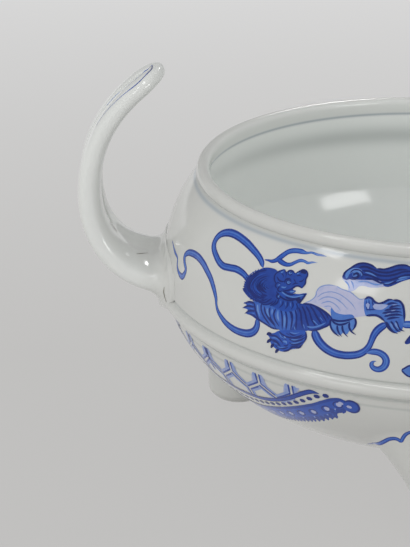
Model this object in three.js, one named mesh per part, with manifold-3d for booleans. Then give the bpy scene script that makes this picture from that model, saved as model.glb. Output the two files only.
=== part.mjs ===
// Tripod incense burner of glazed porcelain, in millimetres, +Z up, with the floor at z = 0.
// The body is thrown in two halves and luted at the waist under a raised band. Two strap
// handles with a long slot rise from the shoulder on the X axis, and three stub legs with a
// flared root carry the bowl: one towards -Y, two behind. Nothing on it moves.
import * as THREE from "three";
import { mergeVertices } from "three/addons/utils/BufferGeometryUtils.js";
import Module from "manifold-3d";

// Body heights, stacked from the floor
const undersideClearance = 17.6;
const bowlHeight = 62.3;
const bandHeight = 8.4;
const shoulderHeight = 47;
const lipRise = 2.6;

// Body radii and how far the outline steps in or out of them
const waistRadius = 125;
const bandBulge = 2.4;
const bandCrestStart = 2.5;
const bowlStepIn = 1.9;
const shoulderInset = 16.1;
const lipRollRadius = 3;
const lipInset = 2.6;

// Fullness of the two curved walls, as the reach of their control points
const shoulderRise = 21;
const shoulderFullness = 9.6;
const shoulderDrop = 10.5;
const bowlFlankInset = 6.9;
const bowlFlankDrop = 34.1;
const bowlFlatRadius = 65;

// Walls, and the seat that the band is luted into
const shoulderWall = 7;
const baseThickness = 8;
const innerFlankInset = 6;
const innerFlatInset = 3;
const bandSeatDepth = 3;
const grooveDepth = 0.7;
const grooveHalfWidth = 0.8;
const lutingGap = 0.3;

// Handles: the middle line of the strap, its section and its slot
const handleRootDepth = 12;
const handleRootHeight = 4.5;
const handleRootDip = 5;
const handleRootReach = 15;
const handleReach = 32.4;
const handleElbowRise = 17;
const handleWidestRise = 42;
const handleTipReach = -1.8;
const handleTipRise = 97.4;
const handleTipRun = 18;
const handleTipSlope = 11;
const handleUpperRun = 27.5;
const strapRootWidth = 60;
const strapTipWidth = 31;
const strapTaper = 2.2;
const strapRootThickness = 15;
const strapTipThickness = 7.8;
const strapValley = 2.2;
const strapValleyWidth = 7;
const strapEndRound = 14.5;
const strapEdgeRound = 0.75;
const strapFaceRound = 0.7;
const rootFlare = 6;
const rootThickening = 3.6;
const rootFlareLength = 6;
const slotWidth = 5;
const slotStart = 46;
const slotEndMargin = 6.5;
const slotEndWidth = 0.6;

// Legs
const legCircleInset = 24;
const footRadius = 15.2;
const soleRadius = 11;
const soleRoundHeight = 5.5;
const ankleHeight = 12;
const legRootHeight = 54;
const legRootHalfWidth = 41;
const legInnerSpread = 22;
const legFlareEase = 1.6;
const legBulge = 0.9;
const legOverrun = 18;
const legFlareLimit = 1.25;

// Facets of the round work
const turns = 64;
const wallSteps = 9;
const lipSteps = 8;
const bandSteps = 6;
const strapSteps = 21;
const tipSteps = 5;
const tipBlunt = 0.2;
const strapSides = 18;
const slotSteps = 12;
const legSteps = 8;
const legSides = 24;
const soleSteps = 4;

// Places worked out from the sizes above
const lowerGroove = undersideClearance + bowlHeight;
const upperGroove = lowerGroove + bandHeight;
const seam = (lowerGroove + upperGroove) / 2;
const neck = new THREE.Vector2(waistRadius - shoulderInset, upperGroove + shoulderHeight);
const lipCentre = new THREE.Vector2(neck.x - lipInset, neck.y + lipRise);
const bowlTopRadius = waistRadius - bowlStepIn;
const bandSeatRadius = waistRadius - bandSeatDepth;
const legCircleRadius = waistRadius - legCircleInset;

const wasm = await Module();
wasm.setup();

const point = (x, y) => new THREE.Vector2(x, y);

// The outer wall above the waist, from the upper groove to the hollow under the lip
const shoulderCurve = new THREE.CubicBezierCurve(
  point(waistRadius, upperGroove),
  point(waistRadius, upperGroove + shoulderRise),
  point(neck.x + shoulderFullness, neck.y - shoulderDrop),
  neck,
);

// The outer wall below the waist, from the lower groove to the middle of the underside
const bowlCurve = new THREE.CubicBezierCurve(
  point(bowlTopRadius, lowerGroove),
  point(bowlTopRadius - bowlFlankInset, lowerGroove - bowlFlankDrop),
  point(bowlFlatRadius, undersideClearance),
  point(0, undersideClearance),
);

// The inside of the bowl, which carries on from the shoulder's inner wall at the seam
const bowlInnerCurve = new THREE.CubicBezierCurve(
  point(waistRadius - shoulderWall, seam),
  point(waistRadius - shoulderWall - innerFlankInset, seam - bowlFlankDrop),
  point(bowlFlatRadius - innerFlatInset, undersideClearance + baseThickness),
  point(0, undersideClearance + baseThickness),
);

// Points along a wall's curve, moved square to it by a distance to the left of its run
function wallPoints(curve, offset) {
  const points = [];
  for (let i = 0; i <= wallSteps; i++) {
    const along = curve.getTangent(i / wallSteps);
    const left = point(-along.y, along.x);
    points.push(curve.getPoint(i / wallSteps).addScaledVector(left, offset));
  }
  return points;
}

// Points of a circular arc from one angle to another
function arcPoints(centre, radius, from, to, steps) {
  const points = [];
  for (let i = 0; i <= steps; i++) {
    const a = from + ((to - from) * i) / steps;
    points.push(point(centre.x + radius * Math.cos(a), centre.y + radius * Math.sin(a)));
  }
  return points;
}

// A profile of (radius, height) points turned round the Z axis, listed with its solid side on
// the left as it runs: up the outside and down the inside
function turned(profile) {
  const geometry = new THREE.LatheGeometry(profile, turns);
  geometry.rotateX(Math.PI / 2);
  return geometry;
}

// A closed skin over rings of points that all have the same number of corners
function lofted(rings) {
  const sides = rings[0].length;
  const positions = rings.flat().flatMap((p) => [p.x, p.y, p.z]);
  const faces = [];
  for (let i = 0; i + 1 < rings.length; i++) {
    for (let j = 0; j < sides; j++) {
      const k = (j + 1) % sides;
      const a = i * sides;
      const b = a + sides;
      faces.push(a + j, a + k, b + k, a + j, b + k, b + j);
    }
  }
  const middle = (ring) => ring.reduce((s, p) => s.add(p), new THREE.Vector3()).divideScalar(sides);
  const last = (rings.length - 1) * sides;
  for (const [ring, start] of [[rings[0], 0], [rings[rings.length - 1], last]]) {
    const centre = positions.length / 3;
    const c = middle(ring);
    positions.push(c.x, c.y, c.z);
    for (let j = 0; j < sides; j++) {
      const k = (j + 1) % sides;
      if (start === 0) faces.push(centre, start + k, start + j);
      else faces.push(centre, start + j, start + k);
    }
  }
  const geometry = new THREE.BufferGeometry();
  geometry.setAttribute("position", new THREE.Float32BufferAttribute(positions, 3));
  geometry.setIndex(faces);
  return geometry;
}

// Closed geometry to a solid that can be joined and cut
function solidOf(geometry) {
  const bare = geometry.clone();
  bare.deleteAttribute("normal");
  bare.deleteAttribute("uv");
  const merged = mergeVertices(bare, 1e-4);
  const vertProperties = new Float32Array(merged.attributes.position.array);
  const triVerts = new Uint32Array(merged.index.array);
  const made = new wasm.Manifold(new wasm.Mesh({ numProp: 3, vertProperties, triVerts }));
  if (made.volume() > 0) return made;
  for (let i = 0; i < triVerts.length; i += 3) {
    [triVerts[i + 1], triVerts[i + 2]] = [triVerts[i + 2], triVerts[i + 1]];
  }
  return new wasm.Manifold(new wasm.Mesh({ numProp: 3, vertProperties, triVerts }));
}

// A solid back to geometry
function geometryOf(solid) {
  const mesh = solid.getMesh();
  const geometry = new THREE.BufferGeometry();
  geometry.setAttribute("position", new THREE.BufferAttribute(mesh.vertProperties, 3));
  geometry.setIndex(new THREE.BufferAttribute(mesh.triVerts, 1));
  geometry.computeVertexNormals();
  return geometry;
}

// Upper half of the body: shoulder, hollow neck and the rolled lip
function shoulderGeometry() {
  const outer = wallPoints(shoulderCurve, 0);
  const inner = wallPoints(shoulderCurve, shoulderWall).reverse();
  const lip = arcPoints(lipCentre, lipRollRadius, -Math.PI / 4, Math.PI, lipSteps);
  return turned([
    point(bandSeatRadius, seam),
    point(bandSeatRadius, upperGroove),
    point(waistRadius - grooveDepth, upperGroove),
    point(waistRadius, upperGroove + grooveHalfWidth),
    ...outer.slice(1),
    ...lip,
    ...inner,
    point(waistRadius - shoulderWall, seam),
    point(bandSeatRadius, seam),
  ]);
}

// The raised band over the seam, with a small groove left on each side of it
function bandGeometry() {
  const inside = bandSeatRadius + lutingGap;
  const top = point(waistRadius - grooveDepth, upperGroove);
  const bottom = point(bowlTopRadius - grooveDepth, lowerGroove);
  // A cubic curve goes three quarters of the way to its middle control points
  const reach = waistRadius + (bandBulge * 4) / 3;
  const crest = new THREE.CubicBezierCurve(
    point(bottom.x + grooveDepth, bottom.y + grooveHalfWidth),
    point(reach, lowerGroove + bandCrestStart),
    point(reach, upperGroove - bandCrestStart),
    point(top.x + grooveDepth, top.y - grooveHalfWidth),
  );
  return turned([
    point(inside, lowerGroove),
    bottom,
    ...crest.getPoints(bandSteps),
    top,
    point(inside, upperGroove),
    point(inside, lowerGroove),
  ]);
}

// Lower half of the body, open at the top where the shoulder sits on it
function bowlGeometry() {
  return turned([
    ...wallPoints(bowlCurve, 0).reverse().slice(0, -1),
    point(bowlTopRadius, lowerGroove - grooveHalfWidth),
    point(bowlTopRadius - grooveDepth, lowerGroove),
    point(bandSeatRadius, lowerGroove),
    point(bandSeatRadius, seam),
    ...wallPoints(bowlInnerCurve, 0),
  ]);
}

// Everything inside the body's outline and a luting gap round it, to seat handles and legs on
function bodyEnvelope() {
  const bulge = waistRadius + bandBulge + lutingGap;
  return solidOf(
    turned([
      ...wallPoints(bowlCurve, lutingGap).reverse(),
      point(bulge, lowerGroove + bandCrestStart),
      point(bulge, upperGroove - bandCrestStart),
      ...wallPoints(shoulderCurve, -lutingGap),
      point(0, neck.y),
    ]),
  );
}

// The middle line of a handle's strap in the XZ plane, on the +X side
function strapCurve() {
  const at = (x, z) => new THREE.Vector3(waistRadius + x, 0, upperGroove + z);
  const line = new THREE.CurvePath();
  line.add(
    new THREE.CubicBezierCurve3(
      at(-handleRootDepth, handleRootHeight),
      at(handleRootReach, handleRootHeight - handleRootDip),
      at(handleReach, handleElbowRise),
      at(handleReach, handleWidestRise),
    ),
  );
  line.add(
    new THREE.CubicBezierCurve3(
      at(handleReach, handleWidestRise),
      at(handleReach, handleWidestRise + handleUpperRun),
      at(handleTipReach + handleTipRun, handleTipRise - handleTipSlope),
      at(handleTipReach, handleTipRise),
    ),
  );
  return line;
}

// Half width and half thickness of the strap at a distance along it
function strapSection(distance, length) {
  const left = 1 - distance / length;
  const flare = Math.exp(-Math.max(0, distance - handleRootDepth) / rootFlareLength);
  const width = strapTipWidth + (strapRootWidth - strapTipWidth) * left ** strapTaper;
  const thickness = strapTipThickness + (strapRootThickness - strapTipThickness) * left;
  const toEnd = Math.min(1, (length - distance) / strapEndRound);
  const round = Math.sqrt(Math.max(0, 1 - (1 - toEnd) ** 2));
  return {
    half: round * (width / 2 + rootFlare * flare),
    thick: Math.sqrt(round) * (thickness / 2 + rootThickening * flare),
  };
}

// One ring of the strap: a rounded bar with a shallow valley down the middle of both faces
function strapRing(line, distance, length) {
  const u = Math.min(distance / length, 1);
  const centre = line.getPointAt(u);
  const along = line.getTangentAt(u);
  const square = new THREE.Vector3(along.z, 0, -along.x);
  const { half, thick } = strapSection(distance, length);
  const ring = [];
  for (let j = 0; j < strapSides; j++) {
    const a = (j / strapSides) * Math.PI * 2;
    const y = half * Math.sign(Math.cos(a)) * Math.abs(Math.cos(a)) ** strapEdgeRound;
    const hollow = 1 - (strapValley / strapRootThickness) * Math.exp(-((y / strapValleyWidth) ** 2));
    const out = thick * hollow * Math.sign(Math.sin(a)) * Math.abs(Math.sin(a)) ** strapFaceRound;
    ring.push(centre.clone().addScaledVector(square, out).setY(y));
  }
  return ring;
}

// The slot tool: a thin blade that follows the strap's middle line between its two ends
function slotSolid(line, length) {
  const end = length - slotEndMargin;
  const rings = [];
  for (let i = 0; i <= slotSteps; i++) {
    const u = i / slotSteps;
    const distance = slotStart + (end - slotStart) * u;
    const centre = line.getPointAt(distance / length);
    const along = line.getTangentAt(distance / length);
    const square = new THREE.Vector3(along.z, 0, -along.x);
    const half = Math.max(slotEndWidth, slotWidth * Math.sqrt(1 - (2 * u - 1) ** 4)) / 2;
    const deep = strapRootThickness;
    const corner = (n, y) => centre.clone().addScaledVector(square, n).setY(y);
    rings.push([corner(deep, half), corner(-deep, half), corner(-deep, -half), corner(deep, -half)]);
  }
  return solidOf(lofted(rings));
}

// A handle on the +X side, cut to seat on the body
function handleGeometry(envelope) {
  const line = strapCurve();
  const length = line.getLength();
  const rings = [];
  const tipStart = length - strapEndRound;
  for (let i = 0; i <= strapSteps; i++) {
    rings.push(strapRing(line, (tipStart * i) / strapSteps, length));
  }
  for (let i = 1; i <= tipSteps; i++) {
    const eased = Math.sin((i / (tipSteps + tipBlunt)) * (Math.PI / 2));
    rings.push(strapRing(line, tipStart + strapEndRound * eased, length));
  }
  return geometryOf(solidOf(lofted(rings)).subtract(slotSolid(line, length)).subtract(envelope));
}

// One ring of a leg on the -Y side: an ellipse that grows from the sole to the flared root
function legRing(height, scale) {
  const x = Math.max(0, (height - ankleHeight) / (legRootHeight - ankleHeight));
  const flare = Math.min(x, legFlareLimit) ** legFlareEase;
  const half = scale * (footRadius + (legRootHalfWidth - footRadius) * flare);
  const bulge = legBulge * Math.sin(Math.PI * Math.min(1, height / legRootHeight));
  const outer = legCircleRadius + scale * footRadius + bulge;
  const inner = legCircleRadius - scale * footRadius - legInnerSpread * flare;
  const middle = (outer + inner) / 2;
  const deep = (outer - inner) / 2;
  const ring = [];
  for (let j = 0; j < legSides; j++) {
    const a = (j / legSides) * Math.PI * 2;
    ring.push(new THREE.Vector3(half * Math.cos(a), deep * Math.sin(a) - middle, height));
  }
  return ring;
}

// The front leg, with a flat sole, a rounded foot and a root cut to seat under the bowl
function legGeometry(envelope) {
  const rings = [];
  const first = Math.asin(soleRadius / footRadius);
  for (let i = 0; i <= soleSteps; i++) {
    const a = first + (Math.PI / 2 - first) * (i / soleSteps);
    const height = soleRoundHeight * (1 - Math.cos(a) / Math.cos(first));
    rings.push(legRing(height, Math.sin(a)));
  }
  const top = legRootHeight + legOverrun;
  for (let i = 1; i <= legSteps; i++) {
    rings.push(legRing(soleRoundHeight + ((top - soleRoundHeight) * i) / legSteps, 1));
  }
  return geometryOf(solidOf(lofted(rings)).subtract(envelope));
}

const glaze = { color: 0xe3e7e6, roughness: 0.12, metalness: 0 };
const piece = (name, geometry, turn = 0) => {
  const mesh = new THREE.Mesh(geometry, new THREE.MeshStandardMaterial(glaze));
  mesh.name = name;
  mesh.rotation.z = THREE.MathUtils.degToRad(turn);
  return mesh;
};

const envelope = bodyEnvelope();
const handle = handleGeometry(envelope);
const leg = legGeometry(envelope);

const burner = new THREE.Group();
burner.add(piece("shoulder_wall", shoulderGeometry()));
burner.add(piece("waist_band", bandGeometry()));
burner.add(piece("lower_bowl", bowlGeometry()));
burner.add(piece("handle_right", handle));
burner.add(piece("handle_left", handle, 180));
burner.add(piece("leg_front", leg));
burner.add(piece("leg_rear_right", leg, 120));
burner.add(piece("leg_rear_left", leg, 240));

export default burner;
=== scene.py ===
"""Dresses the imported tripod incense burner: glazed porcelain body, slotted strap handles,
stub legs, and the cobalt painting under the glaze. Sizes are millimetres in the part's frame
unless a comment says otherwise; meshes are made in metres."""
import logging
import math
from dataclasses import dataclass, field
from enum import Enum, auto
from typing import Iterable, Sequence

import bmesh
import bpy
import numpy as np
from mathutils import Matrix, Vector
from mathutils.bvhtree import BVHTree
from mathutils.geometry import delaunay_2d_cdt


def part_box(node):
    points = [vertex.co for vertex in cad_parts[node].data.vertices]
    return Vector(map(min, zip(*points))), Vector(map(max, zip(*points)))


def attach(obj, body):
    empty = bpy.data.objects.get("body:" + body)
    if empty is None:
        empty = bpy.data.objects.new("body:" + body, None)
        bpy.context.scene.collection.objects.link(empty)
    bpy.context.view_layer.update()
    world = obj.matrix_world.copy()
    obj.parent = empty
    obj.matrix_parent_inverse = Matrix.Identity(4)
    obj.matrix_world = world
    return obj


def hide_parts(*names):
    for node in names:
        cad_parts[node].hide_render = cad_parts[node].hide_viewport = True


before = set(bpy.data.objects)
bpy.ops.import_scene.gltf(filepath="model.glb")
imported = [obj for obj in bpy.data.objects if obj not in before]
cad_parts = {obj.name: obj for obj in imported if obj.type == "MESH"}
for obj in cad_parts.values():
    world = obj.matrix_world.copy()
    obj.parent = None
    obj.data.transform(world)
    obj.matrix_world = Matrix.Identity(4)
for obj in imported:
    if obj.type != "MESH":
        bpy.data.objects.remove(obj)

Point = tuple[float, float]
Colour = tuple[float, float, float]
Rows = Sequence[Sequence[float]]
Object, Material, Socket = bpy.types.Object, bpy.types.Material, bpy.types.NodeSocket
MM = 0.001
TINY = 1e-12
LEG_TURNS = {"front": 0.0, "rear_right": 120.0, "rear_left": 240.0}
LOG = logging.getLogger("burner")
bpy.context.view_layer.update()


def box_mm(node: str) -> tuple[np.ndarray, np.ndarray]:
    """Read the lowest and highest corner of a solid of the frame, in millimetres."""
    low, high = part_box(node)
    return np.array(low) / MM, np.array(high) / MM


def bezier(points: Sequence[Point], steps: int) -> np.ndarray:
    """Sample a cubic Bezier curve.

    Args:
        points: Its four control points.
        steps: Number of equal steps of the parameter.

    Returns:
        Array of steps + 1 points.
    """
    t = np.linspace(0.0, 1.0, steps + 1)[:, None]
    a, b, c, d = (np.array(p, float) for p in points)
    return (1 - t) ** 3 * a + 3 * t * (1 - t) ** 2 * b + 3 * t ** 2 * (1 - t) * c + t ** 3 * d


def arc(centre: Point, radius: float, start: float, stop: float, steps: int) -> np.ndarray:
    """Sample an arc of a circle at steps + 1 points, between two angles in degrees."""
    a = np.radians(np.linspace(start, stop, steps + 1))
    return np.stack([centre[0] + radius * np.cos(a), centre[1] + radius * np.sin(a)], -1)


def heading(azimuth: float, elevation: float) -> np.ndarray:
    """Give the unit vector at an azimuth from +X towards +Y and an elevation, both in degrees."""
    a, e = math.radians(azimuth), math.radians(elevation)
    return np.array([math.cos(a) * math.cos(e), math.sin(a) * math.cos(e), math.sin(e)])


def run_along(path: np.ndarray) -> np.ndarray:
    """Give the flat distance along a path from its first point to each point."""
    return np.concatenate([[0.0], np.cumsum(np.linalg.norm(np.diff(path[:, :2], axis=0), axis=1))])


def directions(path: np.ndarray) -> np.ndarray:
    """Give the unit direction of a path at each point."""
    along = np.gradient(path, axis=0)
    return along / (np.linalg.norm(along, axis=1)[:, None] + TINY)


def sheet_faces(rows: int, columns: int, start: int = 0) -> list[tuple[int, int, int, int]]:
    """Give the faces of a sheet of points that are numbered row by row from start."""
    corners = [start + i * columns + j for i in range(rows - 1) for j in range(columns - 1)]
    return [(a, a + 1, a + columns + 1, a + columns) for a in corners]


def deselect() -> None:
    """Leave nothing selected and no object in edit mode."""
    if bpy.context.object and bpy.context.object.mode != "OBJECT":
        bpy.ops.object.mode_set(mode="OBJECT")
    bpy.ops.object.select_all(action="DESELECT")


def take(obj: Object) -> None:
    """Make one object the only selected and the active one."""
    deselect()
    obj.select_set(True)
    bpy.context.view_layer.objects.active = obj


def mesh_object(
    name: str, points: np.ndarray, faces: Iterable[Sequence[int]], edges: Iterable[Sequence[int]] = ()
) -> Object:
    """Make an object from points and faces.

    Args:
        name: Name of the object and its mesh.
        points: Vertices in millimetres.
        faces: Vertex numbers of each face.
        edges: Vertex numbers of each loose edge.

    Returns:
        The object, linked to the scene at the origin.
    """
    mesh = bpy.data.meshes.new(name)
    edges, faces = [tuple(e) for e in edges], [tuple(f) for f in faces]
    mesh.from_pydata((np.asarray(points) * MM).tolist(), edges, faces)
    mesh.validate()
    obj = bpy.data.objects.new(name, mesh)
    bpy.context.collection.objects.link(obj)
    return obj


def points_of(obj: Object) -> np.ndarray:
    """Read the vertices of an object in millimetres."""
    co = np.zeros(len(obj.data.vertices) * 3)
    obj.data.vertices.foreach_get("co", co)
    return co.reshape(-1, 3) / MM


def move_points(obj: Object, points: np.ndarray) -> None:
    """Set the vertices of an object from millimetres."""
    obj.data.vertices.foreach_set("co", (points * MM).ravel())
    obj.data.update()


def store(obj: Object, name: str, values: np.ndarray) -> None:
    """Store a number for each vertex, which a material reads by its name."""
    layer = obj.data.attributes.new(name, "FLOAT", "POINT")
    layer.data.foreach_set("value", values.astype(np.float32))


def weld(reach: float) -> None:
    """Merge doubled points of the mesh in edit mode, turn its faces outwards and leave edit mode."""
    bpy.ops.mesh.select_all(action="SELECT")
    bpy.ops.mesh.remove_doubles(threshold=reach)
    bpy.ops.mesh.normals_make_consistent(inside=False)
    bpy.ops.object.mode_set(mode="OBJECT")


def spun(name: str, profile: np.ndarray, steps: int) -> Object:
    """Turn a closed profile about the Z axis with the spin operator.

    Args:
        name: Name of the object.
        profile: (radius, height) points; the last one joins the first.
        steps: Steps of the full turn.

    Returns:
        The turned solid, shaded smooth.
    """
    points = [(r, 0.0, z) for r, z in profile]
    count = len(points)
    obj = mesh_object(name, points, [], [(i, (i + 1) % count) for i in range(count)])
    take(obj)
    bpy.ops.object.mode_set(mode="EDIT")
    bpy.ops.mesh.select_all(action="SELECT")
    bpy.ops.mesh.spin(steps=steps, angle=math.tau, center=(0, 0, 0), axis=(0, 0, 1))
    weld(1e-6)
    bpy.ops.object.shade_smooth_by_angle(angle=math.radians(60))
    return obj


def lofted(name: str, rings: Sequence[np.ndarray]) -> Object:
    """Skin a row of rings that all have the same number of points, and cap both ends.

    Args:
        name: Name of the object.
        rings: Rings of points in millimetres.

    Returns:
        The closed solid, with its faces turned outwards.
    """
    sides = len(rings[0])
    points = np.concatenate([*rings, rings[0].mean(0)[None], rings[-1].mean(0)[None]])
    first, last, top = len(points) - 2, len(points) - 1, (len(rings) - 1) * sides
    pairs = [(j, (j + 1) % sides) for j in range(sides)]
    faces = [(a + j, a + k, a + sides + k, a + sides + j) for a in range(0, top, sides) for j, k in pairs]
    for j, k in pairs:
        faces += [(first, k, j), (last, top + j, top + k)]
    obj = mesh_object(name, points, faces)
    take(obj)
    bpy.ops.object.mode_set(mode="EDIT")
    weld(1e-7)
    bpy.ops.object.shade_smooth()
    return obj


def apply_modifier(obj: Object, kind: str, **settings: object) -> None:
    """Add a modifier to an object and apply it.

    Args:
        obj: The object.
        kind: Blender's name of the modifier type.
        **settings: Its settings.
    """
    take(obj)
    modifier = obj.modifiers.new(kind.title(), kind)
    for key, value in settings.items():
        setattr(modifier, key, value)
    bpy.ops.object.modifier_apply(modifier=modifier.name)


def cut(obj: Object, tool: Object) -> None:
    """Cut one solid by another and delete the tool."""
    apply_modifier(obj, "BOOLEAN", operation="DIFFERENCE", solver="EXACT", object=tool)
    bpy.data.objects.remove(tool, do_unlink=True)


@dataclass(frozen=True)
class Photograph:
    """Where the camera stood, so that a point picked in the picture can be laid on the glaze."""

    width: int = 410
    height: int = 547
    focal: float = 1600.0
    place: tuple[float, float, float] = (-115.5, -690.0, 367.8)
    turn_right: float = 0.84
    look_down: float = 22.14
    roll: float = 0.14

    def axes(self) -> tuple[np.ndarray, np.ndarray, np.ndarray]:
        """Give the directions of the camera.

        Returns:
            Unit vectors to its right, up and ahead.
        """
        roll = math.radians(-self.roll)
        ahead, right = heading(90.0 - self.turn_right, -self.look_down), heading(-self.turn_right, 0.0)
        up = np.cross(right, ahead)
        turned = math.cos(roll) * right + math.sin(roll) * up
        return turned, math.cos(roll) * up - math.sin(roll) * right, ahead

    def rays(self, pixels: np.ndarray) -> tuple[np.ndarray, np.ndarray]:
        """Give the lines of sight through points of the picture.

        Args:
            pixels: (x, y) points of the picture, y downwards.

        Returns:
            The camera's place and a unit direction for each point.
        """
        right, up, ahead = self.axes()
        across = (pixels[:, :1] - self.width / 2) / self.focal
        down = (pixels[:, 1:] - self.height / 2) / self.focal
        lines = ahead + across * right - down * up
        return np.array(self.place), lines / np.linalg.norm(lines, axis=1)[:, None]

    def camera(self) -> Object:
        """Put the scene's camera where the photograph was taken from.

        Returns:
            The camera object.
        """
        deselect()
        bpy.ops.object.camera_add()
        obj = bpy.context.object
        obj.name = "photograph_camera"
        right, up, ahead = self.axes()
        frame_axes = Matrix([list(right), list(up), list(-ahead)]).transposed().to_4x4()
        obj.matrix_world = Matrix.Translation(Vector(self.place) * MM) @ frame_axes
        obj.data.sensor_fit = "HORIZONTAL"
        obj.data.sensor_width = 36.0
        obj.data.lens = self.focal / self.width * obj.data.sensor_width
        bpy.context.scene.camera = obj
        return obj


@dataclass
class BodyShape:
    """Outline of the turned body as (radius, height) curves, measured from the frame's solids."""

    shoulder_rise: float = 21.0
    shoulder_fullness: float = 9.6
    shoulder_drop: float = 10.5
    shoulder_inset: float = 16.1
    lip_roll: float = 3.0
    lip_inset: float = 2.6
    neck_drop: float = 2.6
    flank_inset: float = 6.9
    flank_drop: float = 34.1
    flat_radius: float = 65.0
    wall: float = 7.0
    base: float = 8.0
    inner_lip_drop: float = 7.0
    inner_shoulder: float = 17.0
    inner_margin: float = 0.5
    inner_widest: float = 3.9
    inner_flank_inset: float = 6.0
    inner_flank_drop: float = 20.0
    inner_flat_reach: float = 21.0
    band_bulge: float = 2.4
    band_crest_start: float = 2.5
    groove_depth: float = 0.5
    groove_half_width: float = 0.8
    fine_line_drop: float = 4.3
    fine_line_depth: float = 0.22
    fine_line_half_width: float = 0.45
    band_run: int = 24
    run: int = 90

    def __post_init__(self) -> None:
        """Take the driving sizes from the frame and sample the outer outline."""
        band_low, band_high = box_mm("waist_band")
        bowl_low, bowl_high = box_mm("lower_bowl")
        _, shoulder_high = box_mm("shoulder_wall")
        self.upper_groove = band_high[2]
        self.lower_groove = band_low[2]
        self.waist = shoulder_high[0]
        self.bowl_top = bowl_high[0]
        self.underside = bowl_low[2]
        self.crest = shoulder_high[2]
        self.seam = (self.lower_groove + self.upper_groove) / 2
        self.fine_line = self.lower_groove - self.fine_line_drop
        self.lip_centre = (self.waist - self.shoulder_inset - self.lip_inset, self.crest - self.lip_roll)
        self.neck = (self.waist - self.shoulder_inset, self.lip_centre[1] - self.neck_drop)
        outline = np.concatenate([self.bowl_outside()[::-1], self.band_outside(), self.shoulder_outside()])
        fresh = np.concatenate([[True], np.linalg.norm(np.diff(outline, axis=0), axis=1) > 1e-6])
        self.outline = outline[fresh]
        self.table_r, self.table_z = self.outline.T
        along = directions(self.outline)
        self.outward = np.stack([along[:, 1], -along[:, 0]], -1)

    def shoulder_outside(self) -> np.ndarray:
        """Give the outer wall from the upper groove to the hollow under the lip."""
        return bezier([
            (self.waist, self.upper_groove), (self.waist, self.upper_groove + self.shoulder_rise),
            (self.neck[0] + self.shoulder_fullness, self.neck[1] - self.shoulder_drop), self.neck,
        ], self.run)

    def band_outside(self) -> np.ndarray:
        """Give the raised band from the lower groove to the upper one."""
        reach = self.waist + self.band_bulge * 4 / 3
        return bezier([
            (self.bowl_top, self.lower_groove + self.groove_half_width),
            (reach, self.lower_groove + self.band_crest_start),
            (reach, self.upper_groove - self.band_crest_start),
            (self.waist, self.upper_groove - self.groove_half_width),
        ], self.band_run)

    def bowl_outside(self) -> np.ndarray:
        """Give the outer wall from the lower groove down to the middle of the underside."""
        return bezier([
            (self.bowl_top, self.lower_groove),
            (self.bowl_top - self.flank_inset, self.lower_groove - self.flank_drop),
            (self.flat_radius, self.underside), (0.0, self.underside),
        ], 2 * self.run)

    def inner_wall(self) -> np.ndarray:
        """Give the inner wall from the lip down to the middle of the floor.

        Returns:
            (radius, height) rows; the wall is widest above the seam and leans in below it.
        """
        floor = self.underside + self.base
        lip, top = self.lip_centre[0] - self.lip_roll, self.lip_centre[1]
        wide, high = self.waist - self.wall - self.inner_margin, self.seam + self.inner_widest
        upper = [
            (lip, top), (lip, top - self.inner_lip_drop),
            (wide, high + self.inner_shoulder), (wide, high),
        ]
        lower = [
            (wide, high), (wide - self.inner_flank_inset, high - self.inner_flank_drop),
            (self.flat_radius + self.inner_flat_reach, floor), (0.0, floor),
        ]
        return np.concatenate([bezier(upper, self.run)[:-1], bezier(lower, self.run)])

    def radius(self, z: np.ndarray) -> np.ndarray:
        """Give the body's outer radius at heights z."""
        return np.interp(z, self.table_z, self.table_r)

    def distance(self, points: np.ndarray) -> tuple[np.ndarray, np.ndarray]:
        """Measure points against the outer wall.

        Args:
            points: (x, y, z) rows.

        Returns:
            Signed distance, positive outside, and the wall's outward normal, for each point.
        """
        rho = np.hypot(points[:, 0], points[:, 1])
        flat = np.stack([rho, points[:, 2]], -1)
        near = np.concatenate([
            np.argmin(((part[:, None] - self.outline[None]) ** 2).sum(-1), axis=1)
            for part in np.array_split(flat, max(1, len(flat) // 4000))
        ])
        out = self.outward[near]
        gap = ((flat - self.outline[near]) * out).sum(-1)
        turn = points[:, :2] / rho[:, None]
        return gap, np.concatenate([turn * out[:, :1], out[:, 1:]], axis=1)

    def melted(self, points: np.ndarray, reach: float) -> np.ndarray:
        """Draw a root's surface smoothly onto the wall, as the glaze over the joint does.

        Args:
            points: (x, y, z) rows of the root.
            reach: Distance from the wall over which the surface bends.

        Returns:
            The moved points.
        """
        gap, normal = self.distance(points)
        bent = np.where(gap > reach, gap, np.where(gap < -reach, 0.0, (gap + reach) ** 2 / (4 * reach)))
        return points + normal * (bent - gap)[:, None]

    def core(self, depth: float, steps: int = 160) -> Object:
        """Make the solid that lies a depth inside the outer wall, to cut roots to length with."""
        inner = (self.outline - depth * self.outward)[::4]
        inner[:, 0] = np.maximum(inner[:, 0], 0.0)
        ends = np.array([[0.0, inner[-1, 1]], [0.0, inner[0, 1]]])
        return spun("core", np.concatenate([inner, ends]), steps)


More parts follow.
